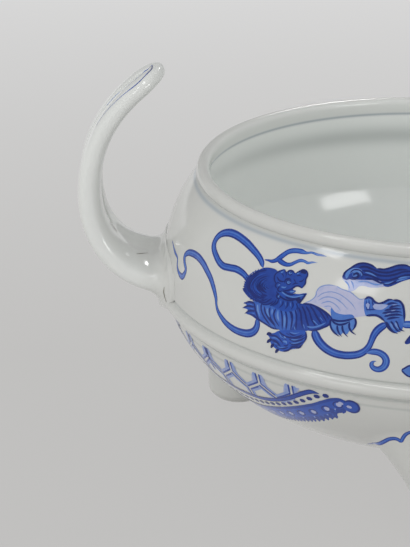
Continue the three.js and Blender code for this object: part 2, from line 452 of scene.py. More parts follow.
class NodeBoard:
    """The node tree of a material or the surroundings, wired up in short lines."""

    def __init__(self, owner: bpy.types.ID) -> None:
        """Open the node tree of its owner."""
        owner.use_nodes = True
        self.owner = owner
        self.nodes, self.links = owner.node_tree.nodes, owner.node_tree.links

    def feed(self, node: bpy.types.Node, inputs: dict[str | int, object]) -> None:
        """Set inputs of a node.

        Args:
            node: The node.
            inputs: A value or the output of another node, for each input.
        """
        for key, value in inputs.items():
            if isinstance(value, Socket):
                self.links.new(value, node.inputs[key])
            else:
                node.inputs[key].default_value = value

    def add(
        self, kind: str, output: str, inputs: dict[str | int, object] | None = None, **settings: object
    ) -> Socket:
        """Add a node.

        Args:
            kind: Its type, without the words that all shader nodes start with.
            output: The name of the output that is wanted.
            inputs: What feeds its inputs.
            **settings: Its settings, which are made before the inputs are looked up.

        Returns:
            The output.
        """
        node = self.nodes.new("ShaderNode" + kind)
        for key, value in settings.items():
            setattr(node, key, value)
        self.feed(node, inputs or {})
        return node.outputs[output]

    def noise(self, scale: float, detail: float = 2.0) -> Socket:
        """Add a noise that is fixed to the piece, and give its strength."""
        place = self.add("TexCoord", "Object")
        return self.add("TexNoise", "Fac", {"Vector": place, "Scale": scale, "Detail": detail})

    def read(self, name: str) -> Socket:
        """Read a number that is stored for each vertex."""
        return self.add("Attribute", "Fac", attribute_name=name)

    def mix(self, share: object, first: object, second: object) -> Socket:
        """Blend two colours, each an output or plain values."""
        first, second = ((*c, 1) if isinstance(c, tuple) else c for c in (first, second))
        return self.add("Mix", "Result", {"Factor": share, "A": first, "B": second}, data_type="RGBA")


def scaled(colour: Colour, share: Colour) -> Colour:
    """Multiply the three parts of a colour."""
    return tuple(c * k for c, k in zip(colour, share))


@dataclass(frozen=True)
class Gloss:
    """The clear coat that lies over glaze and painting alike."""

    ior: float = 1.5
    coat: float = 0.25
    coat_roughness: float = 0.04

    def finish(self, board: NodeBoard, inputs: dict[str, object]) -> Material:
        """Feed the surface of a material and give the material."""
        board.feed(board.nodes["Principled BSDF"], {
            "IOR": self.ior, "Coat Weight": self.coat, "Coat Roughness": self.coat_roughness, **inputs,
        })
        return board.owner


@dataclass(frozen=True)
class Glaze(Gloss):
    """Clear, faintly blue-green glaze over white porcelain, greyer where it pools, with painted shade and
    painted light.
    """

    body: Colour = (0.615, 0.618, 0.588)
    # pooled glaze in the grooves; inside under the lip the same tint is painted shade
    pooled_and_shaded: Colour = (0.36, 0.39, 0.38)
    ring: Colour = (0.33, 0.38, 0.43)
    # painted light: a whiter tint that lightens the inside and the handles
    pale: Colour = (0.86, 0.88, 0.86)
    cloud_share: Colour = (0.93, 0.93, 0.95)
    cloud_scale: float = 14.0
    cloud_detail: float = 3.0
    roughness: float = 0.13
    ripple_scale: float = 55.0
    ripple_strength: float = 0.12
    ripple_height: float = 0.6

    def material(self) -> Material:
        """Build the node material.

        Returns:
            The material; it reads painted light, pooled glaze with painted shade, and rings where a piece has
            them.
        """
        board = NodeBoard(bpy.data.materials.new("glazed_porcelain"))
        cloud = board.noise(self.cloud_scale, self.cloud_detail)
        colour = board.mix(cloud, self.body, scaled(self.body, self.cloud_share))
        # the pale tint is painted light; the grey tint is pooled glaze outside and painted shade inside
        for name, tint in (("pale", self.pale), ("pool_and_shade", self.pooled_and_shaded), ("ring", self.ring)):
            colour = board.mix(board.read(name), colour, tint)
        ripple = board.add("Bump", "Normal", {
            "Strength": self.ripple_strength, "Distance": self.ripple_height * MM,
            "Height": board.noise(self.ripple_scale),
        })
        return self.finish(board, {
            "Base Color": colour, "Roughness": self.roughness, "Normal": ripple, "Coat Normal": ripple,
        })


def dress(obj: Object, material: Material, node: str = "") -> None:
    """Give a piece its finish and tell the frame what it is.

    Args:
        obj: The piece.
        material: Its material.
        node: The solid that it stands for, or nothing for an added piece.
    """
    obj.data.materials.clear()
    obj.data.materials.append(material)
    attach(obj, "root")
    if node:
        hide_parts(node)
    LOG.info("%s: %d faces", obj.name, len(obj.data.polygons))


@dataclass(frozen=True)
class SoftRing:
    """A soft ring of tint round the body: its strength, its half width and its rise over a height."""

    strength: float
    half_width: float
    rise: float = 0.0

    def at(self, z: np.ndarray, height: float) -> np.ndarray:
        """Give the strength at heights z of a ring that is set out from a height."""
        return self.strength * np.exp(-(((z - height - self.rise) / self.half_width) ** 2))


@dataclass
class GlazedBody:
    """The turned body: shoulder with rolled lip, raised band and rounded bowl."""

    shape: BodyShape
    glaze: Material
    turn_steps: int = 360
    lip_steps: int = 28
    lip_start: float = -45.0
    band_seat: float = 3.0
    luting_gap: float = 0.3
    groove_margin: float = 1.1
    groove_pool: SoftRing = SoftRing(0.4, 0.8)
    fine_line_pool: SoftRing = SoftRing(0.45, 0.6)
    neck_pool: SoftRing = SoftRing(0.3, 0.5, 0.2)
    neck_ring: SoftRing = SoftRing(0.75, 0.75, -1.2)
    neck_ring_top: float = -0.1
    inner_ring: SoftRing = SoftRing(0.8, 0.65, -8.1)
    # painted shade: a grey band on the inner wall about 21 mm under the lip, deepest at the back
    rear_painted_shade: SoftRing = SoftRing(0.55, 5.5, -21.0)
    # painted light: the inside is whitened from a little under the lip down, the inner lip top half as much
    painted_light_start: float = 4.0
    painted_light_run: float = 6.0
    lip_run: float = 2.0
    lip_painted_light: float = 0.5

    def groove(self, radius: float, height: float, up: float) -> np.ndarray:
        """Give the rounded half of a groove that starts at its bottom.

        Args:
            radius: Radius of the wall beside it.
            height: Height of the groove's bottom.
            up: 1 where the wall runs upwards from the groove, -1 where it runs downwards.

        Returns:
            Points from the bottom of the groove to the wall.
        """
        depth, half = self.shape.groove_depth, self.shape.groove_half_width
        t = np.linspace(0.0, 1.0, 7)
        rise = depth * (1 - np.cos(np.pi * t)) / 2
        return np.stack([radius - depth + rise, height + up * half * t], -1)

    def shoulder(self) -> Object:
        """Build the upper half with its lip."""
        s = self.shape
        outer = s.shoulder_outside()
        outer = outer[outer[:, 1] > s.upper_groove + s.groove_half_width * self.groove_margin]
        lip = arc(s.lip_centre, s.lip_roll, self.lip_start, 180.0, self.lip_steps)
        inner = s.inner_wall()
        seat = s.waist - self.band_seat
        profile = np.concatenate([
            [(seat, s.seam), (seat, s.upper_groove)],
            self.groove(s.waist, s.upper_groove, 1),
            outer,
            lip,
            inner[1:][inner[1:, 1] > s.seam],
        ])
        return spun("glazed_shoulder", profile, self.turn_steps)

    def band(self) -> Object:
        """Build the raised band over the seam."""
        s = self.shape
        seat = s.waist - self.band_seat + self.luting_gap
        profile = np.concatenate([
            [(seat, s.lower_groove)],
            self.groove(s.bowl_top, s.lower_groove, 1),
            s.band_outside()[1:-1],
            self.groove(s.waist, s.upper_groove, -1)[::-1],
            [(seat, s.upper_groove)],
        ])
        return spun("glazed_band", profile, self.turn_steps)

    def bowl(self) -> Object:
        """Build the lower half, with the fine incised line under the band."""
        s = self.shape
        outer = s.bowl_outside()
        outer = outer[outer[:, 1] < s.lower_groove - s.groove_half_width * self.groove_margin]
        incised = SoftRing(s.fine_line_depth, s.fine_line_half_width)
        outer[:, 0] -= incised.at(outer[:, 1], s.fine_line)
        seat = s.waist - self.band_seat
        inner = s.inner_wall()
        joint = int(np.argmax(inner[:, 1] <= s.seam)) - 1
        profile = np.concatenate([
            outer[::-1],
            self.groove(s.bowl_top, s.lower_groove, -1)[::-1],
            [(seat, s.lower_groove), (seat, s.seam)],
            inner[joint:],
        ])
        return spun("glazed_bowl", profile, self.turn_steps)

    def tint(self, obj: Object) -> None:
        """Store where the glaze pools, where pale rings are painted, and the painted shade and painted light
        inside.

        Args:
            obj: A piece of the body.
        """
        s, points = self.shape, points_of(obj)
        rho, z = np.hypot(points[:, 0], points[:, 1]), points[:, 2]
        outside = rho > s.radius(z) - s.wall / 2
        pool_and_shade = self.groove_pool.at(z, s.upper_groove) + self.groove_pool.at(z, s.lower_groove)
        pool_and_shade += self.fine_line_pool.at(z, s.fine_line) + self.neck_pool.at(z, s.neck[1])
        ring = self.neck_ring.at(z, s.neck[1]) * (z < s.neck[1] + self.neck_ring_top)
        # the painted shade inside is deepest at the back
        rearward = np.clip(points[:, 1] / (rho + TINY), 0, 1)
        # pale is painted light that whitens the inner wall and the inner lip
        deep = np.clip((s.crest - self.painted_light_start - z) / self.painted_light_run, 0, 1)
        pale = np.maximum(deep, np.clip((s.crest - z) / self.lip_run, 0, self.lip_painted_light))
        for name, outer, inner in (
            ("pale", 0.0, pale),
            ("pool_and_shade", pool_and_shade, self.rear_painted_shade.at(z, s.crest) * rearward),
            ("ring", ring, self.inner_ring.at(z, s.crest)),
        ):
            store(obj, name, np.clip(np.where(outside, outer, inner), 0, 1))

    def build(self) -> Object:
        """Build and dress the three pieces.

        Returns:
            The bowl.
        """
        for obj, node in (
            (self.shoulder(), "shoulder_wall"),
            (self.band(), "waist_band"),
            (self.bowl(), "lower_bowl"),
        ):
            self.tint(obj)
            dress(obj, self.glaze, node)
        return obj


class Side(Enum):
    """Which side of the burner a handle is on, as the sign of X."""

    LEFT = -1
    RIGHT = 1


@dataclass
class StrapHandle:
    """A slotted strap handle, given by its middle line from (waist radius, upper groove)."""

    shape: BodyShape
    glaze: Material
    root_depth: float = 12.0
    root_height: float = 4.5
    root_dip: float = 5.0
    root_reach: float = 15.0
    reach: float = 32.4
    elbow_rise: float = 17.0
    widest_rise: float = 42.0
    tip_reach: float = -1.8
    tip_rise: float = 97.4
    tip_run: float = 18.0
    tip_slope: float = 11.0
    upper_run: float = 27.5
    root_width: float = 60.0
    tip_width: float = 31.0
    taper: float = 2.2
    root_thickness: float = 15.0
    tip_thickness: float = 8.4
    valley: float = 2.2
    valley_width: float = 7.0
    end_round: float = 14.5
    edge_round: float = 0.75
    face_round: float = 0.7
    fillet: float = 7.5
    slot_width: float = 5.0
    slot_start: float = 46.0
    slot_end: float = 6.5
    slot_rings: int = 60
    slot_point: float = 0.12
    root_cut: float = 2.0
    melt: float = 1.6
    line_steps: int = 200
    end_rings: float = 14.4
    rings: int = 90
    sides: int = 72
    grain: float = 0.75
    smoothing: int = 7
    # painted light: the handle is whitened more the further it stands from the body
    painted_light_share: float = 0.5
    painted_light_reach: float = 14.0

    def __post_init__(self) -> None:
        """Sample the middle line and measure along it."""
        w, g = self.shape.waist, self.shape.upper_groove
        widest = (w + self.reach, g + self.widest_rise)
        low = bezier([
            (w - self.root_depth, g + self.root_height),
            (w + self.root_reach, g + self.root_height - self.root_dip),
            (w + self.reach, g + self.elbow_rise), widest,
        ], self.line_steps)
        high = bezier([
            widest, (w + self.reach, g + self.widest_rise + self.upper_run),
            (w + self.tip_reach + self.tip_run, g + self.tip_rise - self.tip_slope),
            (w + self.tip_reach, g + self.tip_rise),
        ], self.line_steps)
        self.line = np.concatenate([low, high[1:]])
        self.along = run_along(self.line)
        self.length = self.along[-1]

    def centre(self, s: float) -> tuple[np.ndarray, np.ndarray]:
        """Give a point of the middle line.

        Args:
            s: Distance along the line.

        Returns:
            The (x, z) point and the outward direction square to the line.
        """
        def at(d: float) -> np.ndarray:
            return np.array([np.interp(d, self.along, self.line[:, i]) for i in (0, 1)])

        run = at(min(s + 0.5, self.length)) - at(max(s - 0.5, 0.0))
        run /= np.linalg.norm(run)
        return at(s), np.array([run[1], -run[0]])

    def section(self, s: float) -> tuple[float, float]:
        """Give half the width and half the thickness of the strap at a distance along it."""
        left = 1 - s / self.length
        width = self.tip_width + (self.root_width - self.tip_width) * left ** self.taper
        thick = self.tip_thickness + (self.root_thickness - self.tip_thickness) * left
        to_end = min(1.0, (self.length - s) / self.end_round)
        around = math.sqrt(max(0.0, 1 - (1 - to_end) ** 2))
        return around * width / 2, math.sqrt(around) * thick / 2

    def ring(self, s: float) -> np.ndarray:
        """Give one ring of the strap, with the fillet where it nears the body."""
        centre, square = self.centre(s)
        half, thick = self.section(s)
        a = np.arange(self.sides) / self.sides * math.tau
        c, v = np.cos(a), np.sin(a)
        across = np.sign(c) * np.abs(c) ** self.edge_round
        out = np.sign(v) * np.abs(v) ** self.face_round
        hollow = 1 - self.valley / self.root_thickness * np.exp(-((half * across / self.valley_width) ** 2))
        y, n = half * across, thick * hollow * out
        points = np.stack([centre[0] + square[0] * n, y, centre[1] + square[1] * n], -1)
        gap = np.clip(self.shape.distance(points)[0], 0.0, self.fillet)
        flare = self.fillet - np.sqrt(self.fillet ** 2 - (self.fillet - gap) ** 2)
        spread = np.stack([square[0] * v, c, square[1] * v], -1)
        return points + spread * flare[:, None]

    def slot(self) -> Object:
        """Make the blade that cuts the slot."""
        stop = self.length - self.slot_end
        rings = []
        for u in np.linspace(0, 1, self.slot_rings):
            centre, square = self.centre(self.slot_start + (stop - self.slot_start) * u)
            half = self.slot_width / 2 * max(self.slot_point, math.sqrt(1 - (2 * u - 1) ** 4))
            deep = self.root_thickness
            rings.append(np.array([
                (centre[0] + square[0] * n, y, centre[1] + square[1] * n)
                for n, y in ((deep, half), (-deep, half), (-deep, -half), (deep, -half))
            ]))
        return lofted("slot_blade", rings)

    def build(self, side: Side) -> Object:
        """Build and dress one handle.

        Args:
            side: The side that it is on.

        Returns:
            The handle.
        """
        start = self.length - self.end_round
        quarter = np.arange(1, int(self.end_rings) + 1) / self.end_rings * math.pi / 2
        stations = [*np.linspace(0.0, start, self.rings), *(start + self.end_round * np.sin(quarter))]
        obj = lofted("glazed_handle_" + side.name.lower(), [self.ring(s) for s in stations])
        cut(obj, self.slot())
        cut(obj, self.shape.core(self.root_cut))
        apply_modifier(obj, "REMESH", mode="VOXEL", voxel_size=self.grain * MM, use_smooth_shade=True)
        apply_modifier(obj, "SMOOTH", factor=0.5, iterations=self.smoothing)
        points = self.shape.melted(points_of(obj), self.melt)
        gap, _ = self.shape.distance(points)
        # painted light on the handle, none where it meets the body
        store(obj, "pale", self.painted_light_share * np.clip(gap / self.painted_light_reach, 0, 1))
        if side is Side.LEFT:
            points[:, :2] *= -1
        move_points(obj, points)
        take(obj)
        bpy.ops.object.shade_smooth()
        dress(obj, self.glaze, "handle_" + side.name.lower())
        return obj


@dataclass
class StubLeg:
    """A stub leg on a flat round sole, whose root flares into the bowl."""

    shape: BodyShape
    glaze: Material
    clay: Material
    circle: float = 101.0
    foot: float = 15.2
    sole: float = 11.0
    round_height: float = 5.5
    ankle: float = 12.0
    root_height: float = 54.0
    root_half_width: float = 41.0
    inner_spread: float = 22.0
    flare_ease: float = 1.6
    bulge: float = 0.9
    overrun: float = 18.0
    flare_limit: float = 1.25
    lift: float = 0.15
    pad_share: float = 0.97
    root_cut: float = 1.0
    melt: float = 1.1
    sharp_angle: float = 50.0
    sides: int = 96
    rings: int = 70
    foot_rings: int = 12

    def ring(self, height: float, scale: float) -> np.ndarray:
        """Give one ring of the leg on the -Y side."""
        x = max(0.0, (height - self.ankle) / (self.root_height - self.ankle))
        flare = min(x, self.flare_limit) ** self.flare_ease
        half = scale * (self.foot + (self.root_half_width - self.foot) * flare)
        bulge = self.bulge * math.sin(math.pi * min(1.0, height / self.root_height))
        outer = self.circle + scale * self.foot + bulge
        inner = self.circle - scale * self.foot - self.inner_spread * flare
        a = np.arange(self.sides) / self.sides * math.tau
        middle, deep = (outer + inner) / 2, (outer - inner) / 2
        return np.stack([half * np.cos(a), deep * np.sin(a) - middle, np.full(self.sides, height)], -1)

    def bare_foot(self, name: str, turn: float) -> None:
        """Add the thin unglazed pad under a sole.

        Args:
            name: Name of the piece.
            turn: Angle in degrees from the front leg.
        """
        height = self.lift * 3
        place = Vector(self.circle * heading(turn - 90, 0.0) + (0.0, 0.0, height / 2)) * MM
        deselect()
        bpy.ops.mesh.primitive_cylinder_add(
            vertices=self.sides, radius=self.sole * self.pad_share * MM, depth=height * MM, location=place
        )
        obj = bpy.context.object
        obj.name = name
        bpy.ops.object.transform_apply(location=True, rotation=True, scale=True)
        bpy.ops.object.shade_smooth_by_angle(angle=math.radians(self.sharp_angle))
        dress(obj, self.clay)

    def build(self, name: str, turn: float, node: str) -> Object:
        """Build and dress one leg.

        Args:
            name: Name of the piece.
            turn: Angle in degrees from the front leg.
            node: The solid that it stands for.

        Returns:
            The leg.
        """
        first = math.asin(self.sole / self.foot)
        rings = []
        for a in np.linspace(first, math.pi / 2, self.foot_rings):
            height = self.round_height * (1 - math.cos(a) / math.cos(first))
            rings.append(self.ring(height, math.sin(a)))
        top = self.root_height + self.overrun
        for height in np.linspace(self.round_height, top, self.rings)[1:]:
            rings.append(self.ring(height, 1.0))
        obj = lofted(name, rings)
        cut(obj, self.shape.core(self.root_cut))
        points = self.shape.melted(points_of(obj), self.melt)
        points[:, 2] = np.maximum(points[:, 2], self.lift)
        move_points(obj, turned(points, turn))
        take(obj)
        bpy.ops.object.shade_smooth_by_angle(angle=math.radians(self.sharp_angle))
        dress(obj, self.glaze, node)
        return obj


def smooth_path(points: Rows, step: float, closed: bool = False) -> np.ndarray:
    """Run a smooth curve through given points.

    Args:
        points: Rows whose first two columns are the place; the others are carried along.
        step: Distance between the points of the result.
        closed: Whether the last point joins the first.

    Returns:
        Evenly spaced rows along the curve.
    """
    p = np.asarray(points, float)
    ends = (p[-1:], p[:2]) if closed else (2 * p[:1] - p[1:2], 2 * p[-1:] - p[-2:-1])
    p = np.concatenate([ends[0], p, ends[1]])
    t = np.linspace(0.0, 1.0, 13)[:-1, None]
    parts = []
    for a, b, c, d in zip(p, p[1:], p[2:], p[3:]):
        square, cube = 2 * a - 5 * b + 4 * c - d, 3 * b - a - 3 * c + d
        parts.append(0.5 * (2 * b + (c - a) * t + square * t ** 2 + cube * t ** 3))
    curve = np.concatenate(parts + [p[-2:-1]])
    run = run_along(curve)
    count = max(4, int(run[-1] / step) + 1)
    even = np.linspace(0.0, run[-1], count + 1)
    rows = np.stack([np.interp(even, run, curve[:, i]) for i in range(curve.shape[1])], -1)
    return rows[:-1] if closed else rows


def inside(points: np.ndarray, outline: np.ndarray) -> np.ndarray:
    """Tell which points lie inside a closed outline."""
    x, y = points[:, :1], points[:, 1:2]
    a, b = outline, np.roll(outline, -1, axis=0)
    spans = (a[:, 1] > y) != (b[:, 1] > y)
    cross = a[:, 0] + (y - a[:, 1]) * (b[:, 0] - a[:, 0]) / (b[:, 1] - a[:, 1] + TINY)
    return (spans & (x < cross)).sum(1) % 2 == 1


def turned(points: np.ndarray, degrees: float) -> np.ndarray:
    """Turn points about the Z axis."""
    a = math.radians(degrees)
    (x, y, z), c, v = points.T, math.cos(a), math.sin(a)
    return np.stack([x * c - y * v, x * v + y * c, z], -1)


def surface(*objects: Object) -> BVHTree:
    """Gather the surfaces of objects, in millimetres, for finding places on them.

    Args:
        *objects: The objects, which lie at the origin.

    Returns:
        The search tree.
    """
    points, faces = [], []
    for obj in objects:
        start = len(points)
        points.extend(v.co / MM for v in obj.data.vertices)
        faces.extend([start + i for i in polygon.vertices] for polygon in obj.data.polygons)
    return BVHTree.FromPolygons(points, faces)


def painted(
    name: str, points: np.ndarray, faces: Sequence[Sequence[int]], tones: np.ndarray,
    material: Material, turn_out: bool = True,
) -> None:
    """Make one painted piece, a skin a hair above the glaze.

    Args:
        name: Name of the piece.
        points: Vertices in millimetres.
        faces: Vertex numbers of each face.
        tones: Depth of the colour at each vertex.
        material: The cobalt.
        turn_out: Whether faces are turned away from the body's axis.
    """
    obj = mesh_object(name, points, faces)
    store(obj, "tone", tones)
    count = len(obj.data.polygons)
    normals, centres = np.zeros(count * 3), np.zeros(count * 3)
    obj.data.polygons.foreach_get("normal", normals)
    obj.data.polygons.foreach_get("center", centres)
    out = (normals.reshape(-1, 3) * centres.reshape(-1, 3))[:, :2].sum(1)
    made = bmesh.new()
    made.from_mesh(obj.data)
    made.faces.ensure_lookup_table()
    if turn_out:
        bmesh.ops.reverse_faces(made, faces=[made.faces[i] for i in np.flatnonzero(out < 0)])
    made.to_mesh(obj.data)
    made.free()
    take(obj)
    bpy.ops.object.shade_smooth()
    dress(obj, material)


@dataclass
class FlatWall:
    """The outer wall unrolled: u runs round it, v runs up its outline from the upper groove."""

    shape: BodyShape
    photo: Photograph
    mean_radius: float = 118.0
    sight: tuple[float, float, int] = (520.0, 820.0, 1500)

    def __post_init__(self) -> None:
        """Measure along the outline."""
        run = run_along(self.shape.outline)
        self.run = run - np.interp(self.shape.upper_groove, self.shape.table_z, run)

    def u_at(self, azimuth: float) -> float:
        """Give u at an angle in degrees from +X."""
        return math.radians(azimuth) * self.mean_radius

    def from_picture(self, pixels: Rows) -> np.ndarray:
        """Lay points of the picture on the wall.

        Args:
            pixels: Rows that start with x and y; further columns are kept.

        Returns:
            Rows that start with u and v.
        """
        rows = np.asarray(pixels, float)
        eye, lines = self.photo.rays(rows[:, :2])
        far = np.linspace(*self.sight)
        points = eye + far[None, :, None] * lines[:, None, :]
        gap = np.hypot(points[..., 0], points[..., 1]) - self.shape.radius(points[..., 2])
        gap[points[..., 2] > self.shape.neck[1]] = 1.0
        first = np.maximum(np.argmax(gap < 0, axis=1), 1)
        pick = np.arange(len(rows))
        before, after = gap[pick, first - 1], gap[pick, first]
        share = (before / (before - after + TINY))[:, None]
        hit = points[pick, first - 1] * (1 - share) + points[pick, first] * share
        angle = np.mod(np.arctan2(hit[:, 1], hit[:, 0]), math.tau)
        v = np.interp(hit[:, 2], self.shape.table_z, self.run)
        return np.concatenate([np.stack([angle * self.mean_radius, v], -1), rows[:, 2:]], axis=1)

    def place(self, flat: np.ndarray, lift: float) -> np.ndarray:
        """Lay flat points back on the wall.

        Args:
            flat: (u, v) rows.
            lift: Height above the glaze.

        Returns:
            (x, y, z) rows.
        """
        def outline(v: np.ndarray) -> np.ndarray:
            return np.array([np.interp(v, self.run, self.shape.outline[:, i]) for i in (0, 1)])

        reach = 0.4
        r, z = outline(flat[:, 1])
        dr, dz = outline(flat[:, 1] + reach) - outline(flat[:, 1] - reach)
        size = np.hypot(dr, dz)
        r, z = r + lift * dz / size, z - lift * dr / size
        angle = flat[:, 0] / self.mean_radius
        return np.stack([r * np.cos(angle), r * np.sin(angle), z], -1)


@dataclass
class Brushwork:
    """Strokes and washes of cobalt, collected flat and then laid on the wall as one piece."""

    wall: FlatWall
    step: float = 0.6
    lift: float = 0.035
    lift_step: float = 0.0022
    wash_layers: int = 6
    wash_cell: float = 1.5
    lanes: int = 4
    rimmed_lanes: int = 12
    rim_start: float = 0.55
    streak_place: float = 0.1
    streak_width: float = 0.3
    hairs: float = 9.5
    open_tip: float = 0.02
    closed_tip: float = 0.03
    wash_margin: float = 0.5477
    points: list = field(default_factory=list)
    tones: list = field(default_factory=list)
    faces: list = field(default_factory=list)
    lifts: list = field(default_factory=list)
    spans: list = field(default_factory=list)

    def add(
        self, flat: np.ndarray, tones: np.ndarray, faces: Iterable[Sequence[int]], thick: int = 1
    ) -> None:
        """Keep one painted shape, a hair above the earlier ones that it may cross."""
        start = sum(len(p) for p in self.points)
        low, high = flat.min(0), flat.max(0)
        under = (k for a, b, k in self.spans if (a < high).all() and (b > low).all())
        layer = thick + max(under, default=0)
        self.spans.append((low, high, layer))
        self.points.append(flat)
        self.tones.append(np.broadcast_to(tones, len(flat)))
        self.faces.extend(tuple(start + i for i in f) for f in faces)
        self.lifts.append(np.full(len(flat), self.lift + self.lift_step * layer))

    def stroke(
        self, rows: Rows, tone: float, start: float = 1.2, end: float = 2.4, rim: float = 0.0,
        streak: float = 0.0, fade: float = 0.0, hair: float = 0.0,
    ) -> None:
        """Paint one stroke.

        Args:
            rows: (u, v, width) rows picked along its middle.
            tone: Depth of the colour, 0 pale to 1 nearly black.
            start: Length over which the stroke opens.
            end: Length over which it closes to a point.
            rim: How much deeper its two edges are.
            streak: How much paler its middle is.
            fade: How much paler it gets towards its end.
            hair: How much the separate hairs of the brush show.
        """
        path = smooth_path(rows, self.step)
        run = run_along(path)
        width = path[:, 2] * np.sqrt(np.clip(run / start, self.open_tip, 1.0))
        width *= np.clip((run[-1] - run) / end, self.closed_tip, 1.0) ** 0.7
        along = directions(path[:, :2])
        square = np.stack([-along[:, 1], along[:, 0]], -1)
        lanes = self.rimmed_lanes if rim else self.lanes
        t = np.linspace(-1.0, 1.0, lanes + 1)
        flat = path[:, None, :2] + square[:, None] * (t[None, :, None] * width[:, None, None] / 2)
        tones = tone + rim * (np.abs(t) > self.rim_start) + hair * np.cos(self.hairs * t + 1.0)
        tones = tones - streak * np.exp(-(((t - self.streak_place) / self.streak_width) ** 2))
        tones = tones[None] - fade * (run / run[-1])[:, None] ** 2
        self.add(flat.reshape(-1, 2), tones.ravel(), sheet_faces(len(path), lanes + 1))

    def wash(self, outline: Rows, tone: float, fade: float = 0.0, middle: float = 0.0) -> None:
        """Fill one closed outline.

        Args:
            outline: (u, v) rows picked round it.
            tone: Depth of the colour.
            fade: How much paler it gets for each millimetre from the middle.
            middle: The u where it is deepest.
        """
        edge = smooth_path(outline, self.step, closed=True)[:, :2]
        low, high = edge.min(0), edge.max(0)
        columns, lines = (np.arange(a, b, self.wash_cell) for a, b in zip(low, high))
        grid = np.stack(np.meshgrid(columns, lines), -1).reshape(-1, 2)
        clear = np.min(((grid[:, None] - edge[None]) ** 2).sum(-1), axis=1) > self.wash_margin ** 2
        grid = grid[clear & inside(grid, edge)]
        count = len(edge)
        points = np.concatenate([edge, grid])
        ring = [(i, (i + 1) % count) for i in range(count)]
        made = delaunay_2d_cdt([Vector(p) for p in points.tolist()], ring, [], 1, 1e-5)
        flat = np.array([tuple(p) for p in made[0]])
        self.add(flat, tone - fade * np.abs(flat[:, 0] - middle), made[2], self.wash_layers)

    def build(
        self, name: str, material: Material, moves: Sequence[tuple[float, int]],
        over: BVHTree | None = None, clearance: float = 0.0, turn: float = 0.0,
    ) -> None:
        """Lay copies of everything on the wall as one piece.

        Args:
            name: Name of the piece.
            material: The cobalt.
            moves: (u of the middle, 1 or -1) of each copy; -1 mirrors it.
            over: Surface that the painting is draped over, or None for the wall itself.
            clearance: Height above the wall from which it is draped.
            turn: Degrees that the finished painting is turned by, about the axis.
        """
        flat, lifts = np.concatenate(self.points), np.concatenate(self.lifts)
        points, faces = [], []
        for middle, sign in moves:
            moved = np.stack([middle + sign * flat[:, 0], flat[:, 1]], -1)
            place, above = self.wall.place(moved, 0.0), self.wall.place(moved, 1.0)
            out = above - place
            if over:
                for k, (spot, way) in enumerate(zip(place, out)):
                    hit, normal, *_ = over.ray_cast(Vector(spot + way * clearance), Vector(-way))
                    if hit is not None:
                        place[k], out[k] = hit, normal
            start = sum(len(p) for p in points)
            points.append(place + out * lifts[:, None])
            faces.extend(tuple(start + i for i in f) for f in self.faces)
        spots = turned(np.concatenate(points), turn)
        painted(name, spots, faces, np.tile(np.concatenate(self.tones), len(moves)), material)


@dataclass(frozen=True)
class Cobalt(Gloss):
    """Cobalt brushwork under the glaze, from pale wash to nearly black outlines."""

    pale: Colour = (0.44, 0.45, 0.62)
    wash: Colour = (0.085, 0.21, 0.55)
    middle: Colour = (0.014, 0.075, 0.41)
    deep: Colour = (0.005, 0.021, 0.185)
    darkest: Colour = (0.003, 0.010, 0.095)
    wash_tone: float = 0.25
    middle_tone: float = 0.5
    deep_tone: float = 0.78
    roughness: float = 0.10
    mottle_scale: float = 420.0
    mottle_detail: float = 4.0
    mottle: float = 0.22

    def material(self) -> Material:
        """Build the node material, which reads the attribute tone."""
        board = NodeBoard(bpy.data.materials.new("cobalt_under_glaze"))
        fine = board.noise(self.mottle_scale, self.mottle_detail)
        tone, shift = board.read("tone"), self.mottle / 2
        level = board.add("Math", "Value", {0: tone, 1: shift}, operation="SUBTRACT")
        tone = board.add("Math", "Value", {0: fine, 1: self.mottle, 2: level}, operation="MULTIPLY_ADD")
        colour = board.add("ValToRGB", "Color", {"Fac": tone})
        stops = colour.node.color_ramp.elements
        stops[0].color, stops[1].color = (*self.pale, 1), (*self.darkest, 1)
        for where, tint in (
            (self.wash_tone, self.wash), (self.middle_tone, self.middle), (self.deep_tone, self.deep),
        ):
            stops.new(where).color = (*tint, 1)
        return self.finish(board, {"Base Color": colour, "Roughness": self.roughness})


